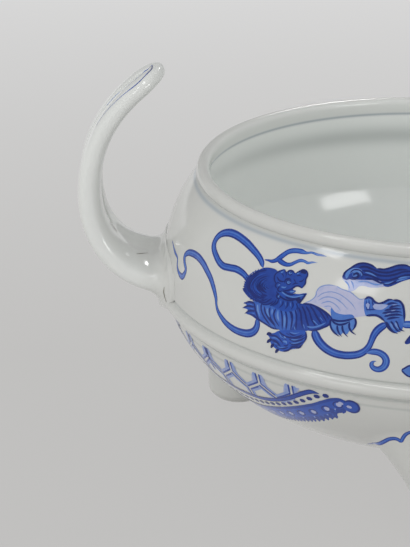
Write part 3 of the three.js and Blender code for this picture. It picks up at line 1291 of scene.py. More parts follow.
@dataclass
class LionPainting:
    """The lion with its ribbons, drawn over what the picture shows of it.

    Every point is (x, y) of the picture, and a third number is the brush's width in millimetres.
    """

    wall: FlatWall
    cobalt: Material
    seed: int = 11
    curls: int = 64
    tufts: int = 22
    mane_centre: Point = (270.5, 286.0)

    def __post_init__(self) -> None:
        """Take up the brush."""
        self.brush = Brushwork(self.wall)

    def draw(self) -> None:
        """Paint the whole motif once, flat."""
        self.ribbons()
        self.flame()
        self.tail()
        self.torso()
        self.hindquarters()
        self.paws()
        self.head()

    def area(self, outline: Sequence[Point], tone: float) -> None:
        """Wash the area inside an outline."""
        self.brush.wash(self.wall.from_picture(outline), tone)

    def stroke(self, rows: Rows, tone: float, **how: float) -> None:
        """Paint one stroke of changing width."""
        self.brush.stroke(self.wall.from_picture(rows), tone, **how)

    def lines(self, tone: float, width: float, *paths: Sequence[Point], **how: float) -> None:
        """Paint plain strokes along paths, in one tone and one width in millimetres."""
        for path in paths:
            self.stroke([(x, y, width) for x, y in path], tone, **how)

    def ribbons(self) -> None:
        """Paint the ribbons: a mid blue band with deep edges and a pale streak."""
        free_end = [
            (172.3, 240, 0.5), (173.5, 246, 1.0), (175, 252, 1.6), (177.5, 258, 1.2), (177.3, 266, 1.5),
            (179, 273, 2.2), (182.5, 276.5, 3.0), (185.8, 270, 2.2), (184.6, 262, 2.2), (184.8, 256, 2.6),
            (188, 252.8, 2.9), (192.5, 253.3, 3.2), (198, 256.8, 3.3), (203, 263, 3.2), (207, 270.5, 3.1),
            (211, 279, 2.9), (214, 289, 2.6), (216, 298, 2.0), (216.3, 304, 1.5), (218, 311, 1.9),
            (222, 318, 2.5), (227, 324, 2.9), (234, 329.3, 3.2), (241, 332.3, 3.4), (248, 333.4, 3.5),
            (254, 331.2, 3.2), (257.2, 325.5, 2.8), (257.4, 317, 2.4),
        ]
        loop = [
            (249.5, 281, 2.4), (246, 276.5, 2.6), (242, 272.5, 2.9), (236, 269, 3.1), (229, 267.5, 3.1),
            (223.5, 266, 3.1), (219.3, 262, 3.1), (216.3, 256, 3.1), (214, 249, 3.1), (214.3, 243, 3.2),
            (217.3, 237.3, 3.4), (222, 233.7, 3.6), (228, 232.6, 3.7), (234, 234, 3.6), (240, 237.4, 3.5),
            (247, 243, 3.4), (253, 249.3, 3.1), (258, 255.3, 2.8), (261.4, 261, 2.6), (263.3, 268, 2.3),
        ]
        under_belly = [
            (314, 329, 3.4), (316.5, 337.5, 3.9), (321, 344, 3.9), (327, 349.3, 3.8), (334, 353, 3.6),
            (342, 355, 3.4), (350, 355.4, 3.3), (358, 354.3, 3.1), (364, 351.5, 2.8), (368.5, 347, 2.5),
            (371.3, 341.3, 2.4), (374, 335, 2.8), (378, 329.7, 3.1), (383, 326, 2.9), (388.5, 323, 2.6),
        ]
        scroll = [
            (366, 353, 1.6), (373, 351.7, 2.6), (379, 352.7, 2.8), (384, 356, 2.9), (386.2, 361, 2.9),
            (384.4, 366.3, 2.8), (379.5, 369.3, 2.6), (374, 368.3, 2.3), (371.4, 364.6, 1.8),
            (373.5, 361.6, 1.3), (376.5, 361.2, 0.9),
        ]
        edge = [(400, 325, 2.4), (405, 324.6, 2.9), (412, 325, 3.0), (419, 328, 2.6), (424, 334, 1.8)]
        bands = (free_end, loop, under_belly, scroll, edge)
        for rows, tone in zip(bands, (0.48, 0.49, 0.5, 0.43, 0.36)):
            self.stroke(rows, tone, start=2.0, end=2.0, rim=0.26, streak=0.1, hair=0.09)
        leaf = [
            (404.8, 343.5), (407.5, 339.5), (411, 335.5), (415, 333), (414.5, 338), (411.5, 342.3),
            (408, 344.2),
        ]
        pod = [
            (401.4, 370), (405, 368), (409, 365.8), (414, 366), (417, 370.5), (414, 376), (409, 376.5),
            (404.5, 373.5),
        ]
        self.area(leaf, 0.7)
        self.area(pod, 0.33)
        self.lines(0.85, 0.7, [*pod, pod[0]], leaf[:4], start=0.5, end=0.5)

    def flame(self) -> None:
        """Paint the forked wisp behind the head."""
        upper = [
            (264.3, 259.7, 0.5), (268, 260.2, 0.8), (272, 261.2, 1.5), (276, 260.2, 2.0), (280, 257.6, 2.5),
            (284, 254.6, 2.4), (288, 252, 2.3), (292.5, 250.8, 2.3), (297.5, 250.8, 2.2), (302, 251.6, 2.1),
            (306.5, 253, 1.2), (312, 252.6, 0.9), (317, 254.5, 1.0), (322, 255.4, 0.8), (327, 256.6, 0.5),
        ]
        lower = [
            (278, 259.4, 2.2), (282, 262.4, 2.2), (286, 264.4, 1.9), (290.5, 264.5, 1.7), (295.5, 262.3, 1.5),
            (300, 260.6, 1.5), (304, 261.1, 1.2), (308, 263, 1.1), (312, 262.4, 0.8), (317.5, 262.5, 0.5),
        ]
        for rows in (upper, lower):
            self.stroke(rows, 0.54, start=1.0, end=2.0, rim=0.22, streak=0.06, fade=0.4, hair=0.05)

    def tail(self) -> None:
        """Paint the bushy tail, which runs on past the edge of the picture."""
        under = [
            (342.6, 277.5), (344.5, 281.5), (347.5, 285), (349, 291.5), (355, 290), (359, 286.5), (364, 286),
            (369, 287.3), (375, 287.8), (383, 287), (388, 286), (388, 279), (370, 277), (355, 276),
        ]
        bush = [
            (342.3, 277.5), (343.5, 273.8), (347.5, 270.5), (352, 266.8), (357, 264), (363.5, 263),
            (369.5, 264), (373.5, 266.8), (378, 268.8), (384, 269.2), (390, 268), (394, 266.2), (399, 265),
            (405, 265), (411, 267.2), (417, 268.5), (423, 267), (428, 268.5), (424, 272), (428, 275),
            (423, 277), (425, 281), (419, 280), (413, 278.8), (406, 280.3), (400, 282.4), (394, 285.2),
            (388, 287), (383.5, 285.5), (381, 281.5), (374, 280.2), (364, 280), (356, 279.5), (351, 279),
            (346, 280),
        ]
        self.area(under, 0.08)
        self.area(bush, 0.68)
        self.lines(
            0.93, 0.8,
            [(343, 277), (345, 272.5), (350, 268.7), (357, 264.3), (364, 263.2), (371, 265), (377, 268.6)],
            [(377, 268.6), (384, 269.4), (391, 267.6), (398, 265.4), (405, 265.3), (412, 267.6)],
            [(359, 267.5), (366, 266.8), (373, 269.5), (380, 272), (389, 272.5), (398, 270), (408, 269.5)],
            [(362, 270.5), (370, 271.5), (378, 275), (387, 276), (396, 274.3), (405, 271.5), (414, 272)],
            [(363, 274.5), (371, 276), (379, 279.5), (388, 280.3), (397, 278), (406, 275.2), (416, 275.5)],
            [(365, 278.3), (373, 279.3), (381, 283), (389, 284), (397, 281.5), (405, 278.6)],
        )
        self.lines(
            0.3, 0.6,
            [(365, 272.3), (371, 273.8), (377, 277)], [(398, 278.8), (404, 277.3), (411, 276.8)],
            [(396, 281.5), (402, 279.6), (408, 278.6)], [(384, 283.5), (389, 283), (394, 280.9)],
        )
        eye = [
            (354.5, 274.5, 1.0), (356.8, 273.2, 1.0), (358.8, 275.4, 1.1), (356, 278, 1.1),
            (351.5, 277.3, 1.1),
        ]
        ring = [(350, 273), (354, 269.8), (360, 270.4), (363, 274.5), (361, 278.5)]
        self.lines(
            0.26, 1.5,
            [(346.5, 278.5), (347.5, 274), (351, 271), (356, 269.8), (361, 271.8), (362, 276)],
        )
        self.lines(0.3, 2.6, [(352.5, 274.6), (357, 274.4), (360, 275.6)], start=0.3, end=0.8)
        self.stroke(eye, 0.95, start=0.4, end=1.5)
        self.lines(0.9, 0.6, ring, [(348.8, 278), (352, 279.3), (356.5, 279.6)])
        self.lines(0.93, 1.4, [(353, 274.3), (355.4, 274.4)], start=0.3, end=0.6)
        self.lines(
            0.3, 0.7,
            [(345, 280.8), (348, 284), (350, 289)], [(351, 280.5), (353, 284.5), (353.5, 289)],
        )
        self.lines(0.22, 0.6, [(358, 282), (366, 281.5), (375, 284.5), (384, 284)])

    def torso(self) -> None:
        """Paint the chest, the striped flank and the pale back."""
        back = [
            (304, 303.5), (311, 300.6), (315.5, 296.3), (316.6, 291.5), (320.5, 287), (328.5, 285),
            (336.5, 286), (342, 289.3), (350, 292), (355.5, 296.3), (360, 299.6), (366, 298.4), (371, 300),
            (372, 306), (371, 312), (366, 315.6), (358, 317), (350, 318.4), (342, 320), (335, 319.3),
            (331, 314), (325, 308.5), (316, 305.8),
        ]
        belly = [
            (331, 308), (336, 312.5), (344, 314.5), (352, 314.5), (354, 318), (346, 320), (338, 320.2),
            (332, 318.8),
        ]
        flank = [
            (294, 303), (302, 303.6), (311, 304.6), (318, 307.5), (325, 311.5), (331, 316), (333, 320),
            (329.5, 324.3), (323, 327.5), (316, 330), (309, 330.5), (303, 331.5), (295, 333), (288.5, 333),
            (286, 326), (287, 316),
        ]
        chest = [
            (252.5, 302), (262, 301.5), (272, 303), (282, 306), (292, 305), (297, 310), (296, 320),
            (290, 331), (283, 333), (279, 329.6), (272, 327.7), (264.5, 323.3), (258.5, 319.3), (255.5, 311),
        ]
        self.area(back, 0.0)
        self.area(belly, 0.36)
        self.area(flank, 0.65)
        self.area(chest, 0.44)
        self.lines(
            0.16, 0.42,
            [(304, 303.3), (311, 300.4), (315.7, 296), (316.8, 291.3), (320.7, 286.8), (328.5, 285),
             (336.5, 286)],
            [(336.5, 286), (342, 289.2), (350, 292), (355.5, 296.2), (360, 299.4), (366, 298.2)],
            [(317, 297.5), (323, 293.3), (331, 291.8), (339, 294), (346, 298.5), (352, 304), (356, 310)],
            [(318, 300.5), (326, 297), (335, 298.3), (342, 303), (348, 309.5)],
            [(321, 303.5), (329, 301.5), (336, 305), (341, 311)], [(324, 306.5), (330, 306.3), (334, 310.5)],
        )
        self.lines(
            0.86, 0.8,
            [(303, 303.6), (311, 304.6), (318, 307.5), (325, 311.8), (330.5, 316.5), (332.5, 320)],
            [(332.8, 319.5), (329, 324.6), (323, 327.6), (316, 330), (309, 330.6)],
            [(315, 306.5), (320, 311), (324, 317), (327, 322)],
            [(310, 305.5), (314, 311), (317, 317), (321, 323), (323, 325.5)],
            [(306, 306), (309.5, 312), (311.5, 318.5), (315, 325), (316, 328)],
            [(302, 306), (305, 312), (306.5, 319), (308.5, 326), (309, 330)],
            [(298.5, 307), (300.8, 313), (301.5, 320), (302.5, 328)],
            [(295, 309), (296.5, 315), (296.5, 322), (296, 330)],
            [(291.5, 311), (292.5, 317), (291.8, 324), (290.5, 331)],
            [(321, 308.5), (326, 314), (329, 319.5)],
        )
        self.lines(
            0.3, 0.7,
            [(307, 326.5), (313, 327.3), (320, 325.6), (326, 322.6)], [(313, 320), (317, 324), (319, 325.5)],
            [(320, 317), (323, 321)], [(294, 326), (296, 331.5)], [(303.5, 324), (305, 329)],
        )
        self.lines(
            0.88, 0.75,
            [(253, 303), (255.5, 310), (259, 319), (265, 323.4), (272, 327.7), (279.5, 329.6)],
            [(261.7, 303), (261.3, 309), (263.5, 315.5), (267.5, 321.5), (271, 326)],
            [(264.3, 306), (265.5, 312.5), (269, 318.5), (274, 324.5), (276, 328)],
            [(270.3, 307), (269.5, 313), (271.3, 319.5), (276, 325.5)],
            [(276, 308.5), (274, 314), (275.4, 320), (279.5, 326.5)],
            [(280.5, 308), (282, 314), (282.5, 321), (282.3, 330)],
            [(284.5, 308), (286.5, 314.5), (287, 321), (286, 331)],
            [(288, 307.5), (291, 313.5), (291.2, 319)],
        )
        self.lines(
            0.24, 0.9,
            [(257.8, 304.5), (258, 310), (260, 316.5)], [(267.2, 308), (267.6, 312.5), (269.8, 317)],
            [(278.2, 310), (277.9, 316.5), (279.6, 322)], [(284.4, 315), (284.8, 320), (284.3, 328)],
            [(272.6, 309), (272, 315)], start=0.8, end=1.6,
        )

    def hindquarters(self) -> None:
        """Paint the hind leg with its tufted knee and the hind foot."""
        leg = [
            (364.5, 299.5), (368, 297.2), (371.5, 298), (375, 302), (379, 303.6), (384, 302), (389, 299.5),
            (394.5, 299.8), (399.5, 301), (402.8, 304.5), (404, 310), (404.3, 317), (404.5, 322), (400, 325),
            (394, 325), (387, 324), (384.5, 321), (381, 318), (376.5, 315.3), (371, 315), (366, 315.8),
            (364, 308),
        ]
        foot = [
            (385, 320.5), (393, 319), (402, 319.5), (403, 327), (400.5, 331), (396, 332.5), (391, 330.5),
            (387.5, 326),
        ]
        self.area(leg, 0.38)
        self.area(foot, 0.4)
        self.lines(
            0.9, 0.9,
            [(364.5, 299.5), (368, 297.4), (371.5, 298.2), (375, 302), (379, 303.7), (384, 302.2),
             (389, 299.7), (394, 300)],
            [(393, 300), (399, 301), (402.6, 304.6), (404, 310.5), (404.4, 317), (404.3, 322)],
            [(366, 315.8), (371.5, 315.2), (377, 315.6), (382, 318.6), (386, 323)],
            [(386.5, 304.7), (392, 303.2), (398, 303.4)], [(389, 308), (394.5, 305.8), (401, 306)],
            [(384.5, 310.5), (389, 309.6), (395, 308.7), (402, 309)],
            [(382, 313.2), (389, 312.3), (396, 311.5), (402, 312.3)],
            [(384, 316.4), (391, 315), (398, 314.6), (403, 315.6)],
            [(386.5, 319.3), (393, 317.7), (400, 317.6)],
        )
        self.lines(
            0.9, 1.3,
            [(386, 321.5), (388.5, 327), (392.5, 331.4), (398, 333.6)],
            [(391, 321), (393.5, 326.5), (397.5, 330.5), (401, 332)],
            [(396, 320.5), (397.5, 326), (400.5, 329.5), (404.5, 331.3)], start=1.0, end=4.0,
        )
        self.lines(
            0.7, 0.5,
            [(366.5, 300), (366.3, 306), (367.5, 312)], [(369, 299), (369.4, 305), (370.4, 312)],
        )
        self.lines(
            0.75, 0.6,
            [(372, 300.5), (373.3, 306), (373, 311)], [(366, 309.6), (371, 309.6), (378, 309.2)],
        )
        self.lines(0.1, 2.2, [(373, 306), (380, 307), (388, 305.2)], [(367.6, 303), (368.3, 309)], start=0.8)
        self.lines(
            0.22, 0.9,
            [(390, 322.5), (392.5, 327.3), (395.5, 330)], [(395.2, 322), (397, 326.5), (399, 329)],
        )
        self.lines(
            0.2, 0.8,
            [(386, 314.4), (391, 313.2)], [(391, 310.8), (396, 310)], [(392, 305), (397, 304.6)],
        )

    def paws(self) -> None:
        """Paint the two fore paws and the one under the belly."""
        front = [
            (267.5, 333.5), (274, 333), (279.5, 330.5), (289, 330), (298, 330), (305.5, 331), (306, 337),
            (303.5, 343.5), (299.5, 348), (293, 349), (288.5, 350.3), (283, 351.5), (278, 350),
            (274.5, 347.5), (271, 343.5), (270, 338),
        ]
        raised = [
            (244, 302.6), (249, 301.6), (254.5, 302.6), (255.3, 309), (257, 315), (259, 320.5),
            (255.5, 318.5), (251, 315.3), (246, 313.3), (248, 309.6), (243, 307.6), (247.3, 305.4),
        ]
        middle = [
            (331, 318.5), (337, 320.4), (344, 320.6), (350, 319), (354.5, 318), (355.8, 322), (354.5, 327),
            (352, 330.5), (350, 330), (347, 334.3), (343.6, 332.5), (340.3, 335.4), (337, 333.5),
            (334, 332.6), (331, 328), (330.3, 323),
        ]
        self.area(front, 0.52)
        self.area(raised, 0.52)
        self.area(middle, 0.3)
        self.lines(
            0.88, 0.75,
            [(279, 331), (283, 334.8), (289.5, 337.4), (296.5, 337.2), (303.5, 334.4)],
            [(289, 338.8), (294, 341), (300, 340.3), (305.6, 337)],
            [(289, 342.4), (294, 344.5), (300, 343.6), (304.6, 341)],
            [(283, 351.4), (288.5, 350), (293, 347), (299, 347.6), (303.4, 343.6)],
            [(269, 335.5), (275, 335.7), (280, 339), (283.4, 344)],
            [(271, 339.8), (275.6, 340.6), (279, 344), (281.4, 347.6)],
            [(275, 345.4), (279, 347.2), (284, 348.4), (288.6, 347)],
            [(280, 334.5), (283, 338), (287, 339.6)], [(289.5, 333), (293, 335), (297.5, 334.6)],
            [(283.6, 345), (286.6, 345.8), (289, 343.4)], [(306, 331.5), (306.2, 337.5), (303.8, 343.2)],
        )
        self.lines(
            0.24, 0.8,
            [(283, 341), (286.6, 342), (286.2, 344)], [(284, 336.4), (286.4, 338)], start=0.5, end=0.9,
        )
        self.lines(
            0.32, 0.5,
            [(271.4, 337.7), (276.4, 338), (280.6, 342)], [(274, 342.4), (277.8, 344.2), (280, 347.6)],
            [(290, 332), (295, 333.4), (300, 332.4)], [(291, 339.6), (296, 339.6), (301, 337.4)],
            [(291, 343.2), (296, 343), (301.4, 341)], [(277, 346.4), (281.6, 347.4), (286, 346.8)],
            [(279.4, 333.4), (281.6, 336.8), (285.4, 339.2)],
        )
        self.lines(
            0.84, 0.55,
            [(290, 336), (295, 338.4), (301.6, 337), (306, 334.2)],
            [(290, 345.6), (295, 346.4), (301.6, 345)], [(272.4, 341.6), (276.4, 342.4), (279.6, 346.4)],
            [(286, 333), (290.6, 335.2)],
        )
        self.lines(
            0.97, 1.2,
            [(272, 338.8), (269.3, 340.6), (267, 342.8)], [(274.4, 343.6), (272.3, 345.6), (271, 348)],
            [(279, 348.8), (277, 350.6), (275.4, 353)], [(272, 334), (269, 333.4), (266.8, 334.8)],
            start=0.7, end=0.9,
        )
        self.lines(
            0.86, 0.9,
            [(255, 303.3), (249.5, 301.9), (243.8, 303.6)], [(254.5, 307), (248.6, 305.9), (242.6, 308)],
            [(255.3, 311), (250, 310.7), (244.8, 313.6)], [(259, 320.5), (255, 316.4), (248.5, 313.4)],
            [(254.6, 303), (255.4, 309), (257.2, 315), (259, 320)], start=0.9, end=2.5,
        )
        self.lines(
            0.3, 0.6,
            [(253, 305.2), (250, 304.3)], [(253.4, 309), (250, 308.4)], [(255, 313.6), (252, 313)],
        )
        self.lines(
            0.9, 0.85,
            [(331, 317.6), (334, 322.4), (339, 324.6), (345, 323.8), (350.5, 321)],
            [(331, 319), (330.3, 324), (331.8, 329), (335, 333), (339.8, 336.8)],
            [(337.2, 325), (337.8, 330), (339.8, 334), (342, 336.8)],
            [(342.4, 325), (342.8, 330), (345, 333.8), (348, 337)],
            [(349.6, 322), (349.3, 327), (351.4, 331.4), (356, 334.8)],
            [(354.8, 317.8), (356, 322.4), (354.6, 327.4), (352, 331)],
            [(331.6, 319.3), (338, 321), (345, 320.7), (352, 319), (355, 317.8)], start=0.8, end=2.6,
        )

    def head(self) -> None:
        """Paint the curled mane, the upturned face and the beard."""
        mane = [
            (249.5, 279), (253.5, 274), (259, 270), (265, 267.7), (271.5, 268), (277, 270.4), (279, 276),
            (278.5, 284), (278, 291), (276, 298), (277, 303), (270, 304), (262, 303), (255, 301),
            (249.5, 297.8), (245.5, 293.5), (243, 289), (246.3, 286.3), (245, 282.5),
        ]
        face = [
            (275, 273.5), (278.5, 271), (284.8, 269.2), (286.5, 272.4), (290, 270.4), (294, 271.6),
            (296, 273.4), (300, 271.2), (303.5, 269.6), (306.6, 271), (308, 275), (306, 279.6), (305.4, 284),
            (302, 288.6), (299.3, 286.4), (296, 286.5), (293, 289.6), (296.3, 291), (291, 294.5), (285, 294),
            (279, 291), (276, 285),
        ]
        jaw = [
            (277, 288), (284, 291), (290, 293), (296, 293.8), (300, 294), (304, 293.3), (307.5, 293.6),
            (304.5, 296.6), (303, 299.6), (300, 302), (299.6, 304.6), (297, 309), (290, 311.4), (283, 311),
            (276, 308), (270.5, 304.5), (273, 297),
        ]
        self.area(jaw, 0.56)
        self.area(mane, 0.66)
        self.area(face, 0.61)
        chance = np.random.default_rng(self.seed)

        def on_mane(share: float, turn: float, wide: float, high: float) -> Point:
            x, y = self.mane_centre
            return x + wide * share * math.cos(turn), y + high * share * math.sin(turn)

        for k in range(self.curls):
            light = k % 4 == 3
            reach = 0.16 + 0.82 * (k * 0.618 % 1.0)
            first = chance.uniform(98, 165)
            turn = np.radians(np.linspace(first, min(264, first + chance.uniform(55, 120)), 8))
            wave = reach * (1 + 0.02 * np.sin(4 * turn + k))
            self.lines(
                0.52 if light else chance.uniform(0.78, 0.93),
                0.35 if light else chance.uniform(0.35, 0.6),
                [on_mane(w, t, 26.2, 18.0) for w, t in zip(wave, turn)],
            )
        for k in range(self.tufts):
            turn, reach = math.radians(104 + 7.2 * k), 1.05 + 0.03 * math.sin(5 * k)
            hook = ((0.9, turn), (0.98, turn + 0.03), (reach, turn + 0.07))
            self.lines(0.76, 0.9, [on_mane(share, t, 26.0, 17.9) for share, t in hook], end=1.6)
        self.lines(
            0.84, 0.6,
            [(259, 302.6), (266, 302.2), (272.4, 298)], [(262, 304.4), (269, 304.2), (275, 300.4)],
            [(270, 306), (274.6, 303), (277.4, 298)], [(255, 300.6), (262, 301), (268.6, 298.4)],
        )
        self.lines(
            0.9, 0.7,
            [(276.5, 284), (274.6, 279.4), (275.6, 274.4), (279.5, 271.4), (284.6, 269.6)],
            [(277, 276.4), (279.6, 280.6), (284, 281.6), (286, 279)],
            [(285, 270), (286.6, 274), (285.6, 277.6)],
            [(286.6, 272.6), (290, 270.6), (293.6, 271.6), (295, 274.5)],
            [(284.8, 283.6), (286, 279.6), (290, 278.8), (292, 281.6)],
            [(295.6, 273.6), (300, 271.3), (303.6, 269.9), (306.6, 271.4), (307.8, 275), (305.9, 279.5),
             (305.3, 284), (302, 288.2)],
            [(302, 288.2), (299.2, 286.2), (295.6, 286.4), (291.6, 289), (287, 290.6), (282, 289.5)],
            [(299, 281.6), (302.6, 281), (304.8, 278)],
            [(277.4, 288.6), (275.6, 285.4), (278, 282.6), (281, 284.2)],
            [(276.6, 291.5), (279.6, 295.5), (285, 299.4), (291, 300.4), (297, 298.6), (301.4, 295.6),
             (306.6, 293.8)],
            [(306.4, 294.2), (304, 297.4), (300.4, 302.6), (300.4, 305)],
            [(279.5, 293), (276.8, 296), (279, 299), (281.6, 296.4)],
            [(280.4, 286.4), (278, 289), (279.6, 291.6), (283, 290.6)],
            [(292.6, 284.6), (296, 283.2), (299, 284)], [(296.6, 276), (299.6, 275.4), (302, 276.6)],
            [(293.6, 279), (295.6, 281.6), (294.6, 284)],
            [(283, 290.8), (287.6, 293.4), (292, 294.6), (296, 293.4)],
            [(281.6, 273.4), (283.6, 275.6), (283, 278.6)],
            [(285, 296.6), (290.4, 298.8), (296, 298.6), (301, 296.6)],
            [(292.2, 289.4), (294.4, 287.6), (296.6, 286.8)],
        )
        self.lines(
            0.95, 1.7,
            [(301, 272.6), (304, 271.4), (306, 274)], [(296, 300), (299.5, 300), (298, 303.5)],
            start=0.8, end=1.0,
        )
        self.lines(
            0.27, 0.5,
            [(282, 291.8), (287, 295.3), (293.6, 297.1), (299.3, 296.4), (304, 295)],
            [(280.6, 284.4), (278, 285.6)], [(290, 291.6), (293, 291.8), (295.4, 291)],
            [(278.4, 297.4), (280, 294.6)], [(281, 272.6), (284, 271.6)], [(297, 273.8), (300.4, 272.8)],
            [(281.4, 286.8), (284.6, 287.6), (287, 286.6)], start=0.4, end=0.8,
        )
        for x, y, size in ((290.4, 273.1, 2.0), (288.8, 282.4, 2.2)):
            self.area(arc((x, y), size, 0.0, 324.0, 9), 0.32)
            self.lines(0.86, 0.55, arc((x, y), size, 0.0, 360.0, 10), start=0.1, end=0.1)
            self.area(arc((x + 0.5, y - 0.3), 0.7, 0.0, 324.0, 9), 0.8)
        self.lines(
            0.85, 0.65,
            [(279, 299), (277.4, 303), (273, 306)], [(283.6, 300.4), (282.6, 304.6), (279, 308)],
            [(288, 301), (288, 305.4), (285, 309.4)], [(292.4, 301), (293.4, 305.4), (291.4, 309.6)],
            [(296.4, 303), (297.6, 306.6), (296.6, 310)], [(285.6, 304), (286.4, 301.4)],
        )
        self.lines(
            0.25, 0.6,
            [(281.4, 300.6), (280.6, 304)], [(286, 302), (285.8, 306)], [(290.6, 302.4), (290.8, 306.6)],
        )

    def build(self) -> None:
        """Lay four of them, each pair mirrored about the middle of the front or the back."""
        self.draw()
        front, back = self.wall.u_at(270.0), self.wall.u_at(450.0)
        for points in self.brush.points:
            points[:, 0] -= front
        for name, middle, sign in (
            ("front_left", front, 1), ("front_right", front, -1),
            ("rear_right", back, 1), ("rear_left", back, -1),
        ):
            self.brush.build("painted_lion_" + name, self.cobalt, [(middle, sign)])


@dataclass
class BowlBorder:
    """The brocade lappets on the bowl, one over each gap between two legs.

    Points are (mm from the lappet's middle, mm above the upper groove) of its right half.
    """

    wall: FlatWall
    cobalt: Material
    step: float = 0.5
    cells: int = 4
    cell: float = 16.5
    cell_top: float = -13.6
    joint_top: float = -19.3
    joint_low: float = -25.4
    corner_near: float = 1.2
    corner_far: float = 4.2
    line_gap: float = 0.95
    pearl_step: float = 4.3
    lace_depth: float = 9.6
    lace_step: float = 8.0
    lace_hole: float = 0.43
    curl_centre: Point = (75.6, -18.0)

    def __post_init__(self) -> None:
        """Take up the brush."""
        self.brush = Brushwork(self.wall)

    def curves(self) -> tuple[np.ndarray, np.ndarray]:
        """Give the two long curves: the inner band, and the line that the lace hangs from."""
        band = [
            (0, -33.7), (10, -33.4), (20.5, -32.3), (29, -30.6), (37, -27.7), (45, -23.4), (51.5, -18.8),
            (56, -15.7), (59, -14.2), (62.5, -14.2),
        ]
        line = [
            (0, -44.8), (14, -43.4), (24, -40.3), (32.5, -36.3), (41, -31.9), (47.6, -28.2), (53.3, -24.9),
            (58.7, -21.7), (63.2, -18.6), (67, -16.3), (70.4, -15.1), (73.5, -15.4),
        ]
        return smooth_path(band, self.step), smooth_path(line, self.step)

    def ribbon(self, path: Rows, width: float, tone: float, **how: float) -> None:
        """Paint a stroke of even width along a path."""
        self.brush.stroke([(x, y, width) for x, y in path], tone, **how)

    def corner(self, side: int, top: float, floor: float) -> None:
        """Wash one corner beside an upright of the honeycomb.

        Args:
            side: 1 or -1, the side of the upright.
            top: Place of the upright.
            floor: Height of the band under the corner.
        """
        near, far = top + side * self.corner_near, top + side * self.corner_far
        bottom = max(self.joint_top - 1.6, floor + 2.0)
        outline = [
            (near, self.cell_top - 0.5), (near + side * 1.6, self.cell_top - 0.7), (far, bottom + 1.2),
            (far - side * 0.6, bottom - 0.2), (near, self.joint_top + 0.3),
        ]
        self.brush.wash(outline, 0.24, fade=0.07, middle=near)

    def diaper(self, band: np.ndarray) -> None:
        """Paint the honeycomb of double lines inside the band, with washed corners."""
        def floor(u: float) -> float:
            return float(np.interp(abs(u), band[:, 0], band[:, 1]))

        arms, fall = [], self.joint_low - self.joint_top
        for i in range(self.cells):
            top, low = i * self.cell, (i + 0.5) * self.cell
            joint = (top, self.joint_top)
            arms.append(((top, self.cell_top), joint))
            for side in (-1, 1):
                aside = side * self.cell / 2
                if 0 <= top + aside or i == 0:
                    end = min(1.0, max(0.2, (floor(top + aside) - self.joint_top) / fall))
                    arms.append((joint, (top + aside * end, self.joint_top + fall * end)))
            if floor(low) < self.joint_low - 1:
                arms.append(((low, self.joint_low), (low, floor(low) + 0.8)))
            for side in (-1, 1):
                far = top + side * self.corner_far
                if far >= 0:
                    self.corner(side, top, floor(far))
        for arm in arms:
            a, b = np.array(arm)
            along = (b - a) / (np.linalg.norm(b - a) + TINY)
            square = np.array([-along[1], along[0]]) * self.line_gap
            for side in (-1, 1):
                for off, width, tone in ((2.0, 1.3, 0.14), (1.0, 0.85, 0.66)):
                    path = np.array([a, (a + b) / 2, b]) + square * side * off
                    path[:, 0] = np.maximum(path[:, 0], 0.0)
                    self.ribbon(path, width, tone, start=0.2, end=0.2)

    def lace(self, line: np.ndarray) -> None:
        """Paint the scalloped lace that hangs from the outer line."""
        run, along = run_along(line), directions(line)
        down = np.stack([along[:, 1], -along[:, 0]], -1)
        left = (run[-1] - run) / run[-1]
        scallop = np.abs(np.sin(math.pi * run / self.lace_step)) ** 0.6
        depth = self.lace_depth * np.minimum(1.0, 0.62 + 2.2 * left) * (0.8 + 0.2 * scallop)
        edge = line + down * depth[:, None]
        self.brush.wash(np.concatenate([line[::3], edge[::-1][::3]]), 0.5)
        self.ribbon(edge[::2], 0.9, 0.72, start=0.2, end=1.0)
        for i in range(int(run[-1] / self.lace_step)):
            k = int(np.searchsorted(run, (i + 0.5) * self.lace_step))

            def at(share: float, aside: float) -> np.ndarray:
                return line[k] + down[k] * depth[k] * share + along[k] * aside

            for share, aside, size, tone in ((self.lace_hole, 0.4, 2.3, 0.04), (0.78, -2.2, 1.2, 0.16)):
                spot, tip = at(share, aside), along[k] * size * 0.55
                self.ribbon([spot - tip, spot, spot + tip], size, tone, start=0.6, end=0.8)
            turn = np.linspace(0, math.tau, 10)[:, None]
            around = np.cos(turn) * along[k] + 0.8 * np.sin(turn) * down[k]
            self.ribbon(at(self.lace_hole, 0.0) + 2.1 * around, 0.6, 0.82, start=0.2, end=0.2)
            for aside in (-3.4, -0.6, 2.2):
                finger, foot = at(0.72, aside), at(1.16, aside - 2.2)
                self.ribbon([finger, (finger + foot) / 2, foot], 1.9, 0.68, start=0.4, end=1.4)

    def pearls(self, band: np.ndarray, line: np.ndarray) -> None:
        """Paint the row of pearls midway between the two curves."""
        share = np.linspace(0, 1, len(band))
        middle = (band + np.stack([
            np.interp(share, np.linspace(0, 1, len(line)), line[:, i]) for i in (0, 1)
        ], -1)) / 2
        run = run_along(middle)
        for d in np.arange(self.pearl_step / 2, run[-1] - 1.0, self.pearl_step):
            spot = np.array([np.interp(d, run, middle[:, i]) for i in (0, 1)])
            self.ribbon([spot - (1.4, 0.25), spot, spot + (1.4, 0.25)], 2.0, 0.8, start=0.6, end=0.7)

    def curl(self) -> None:
        """Paint the curl that ends the lappet."""
        centre = np.array(self.curl_centre)
        self.brush.wash(arc(self.curl_centre, 3.5, 0.0, 314.84, 7), 0.55)
        self.ribbon(arc(self.curl_centre, 3.3, -108.862, 148.969, 8), 0.9, 0.78)
        for x, y in ((-4.2, 1.0), (-0.8, -0.2)):
            fleck = centre + [(x - 1.1, y + 0.2), (x, y), (x + 1.1, y - 0.3)]
            self.ribbon(fleck, 1.5, 0.03, start=0.5, end=0.6)

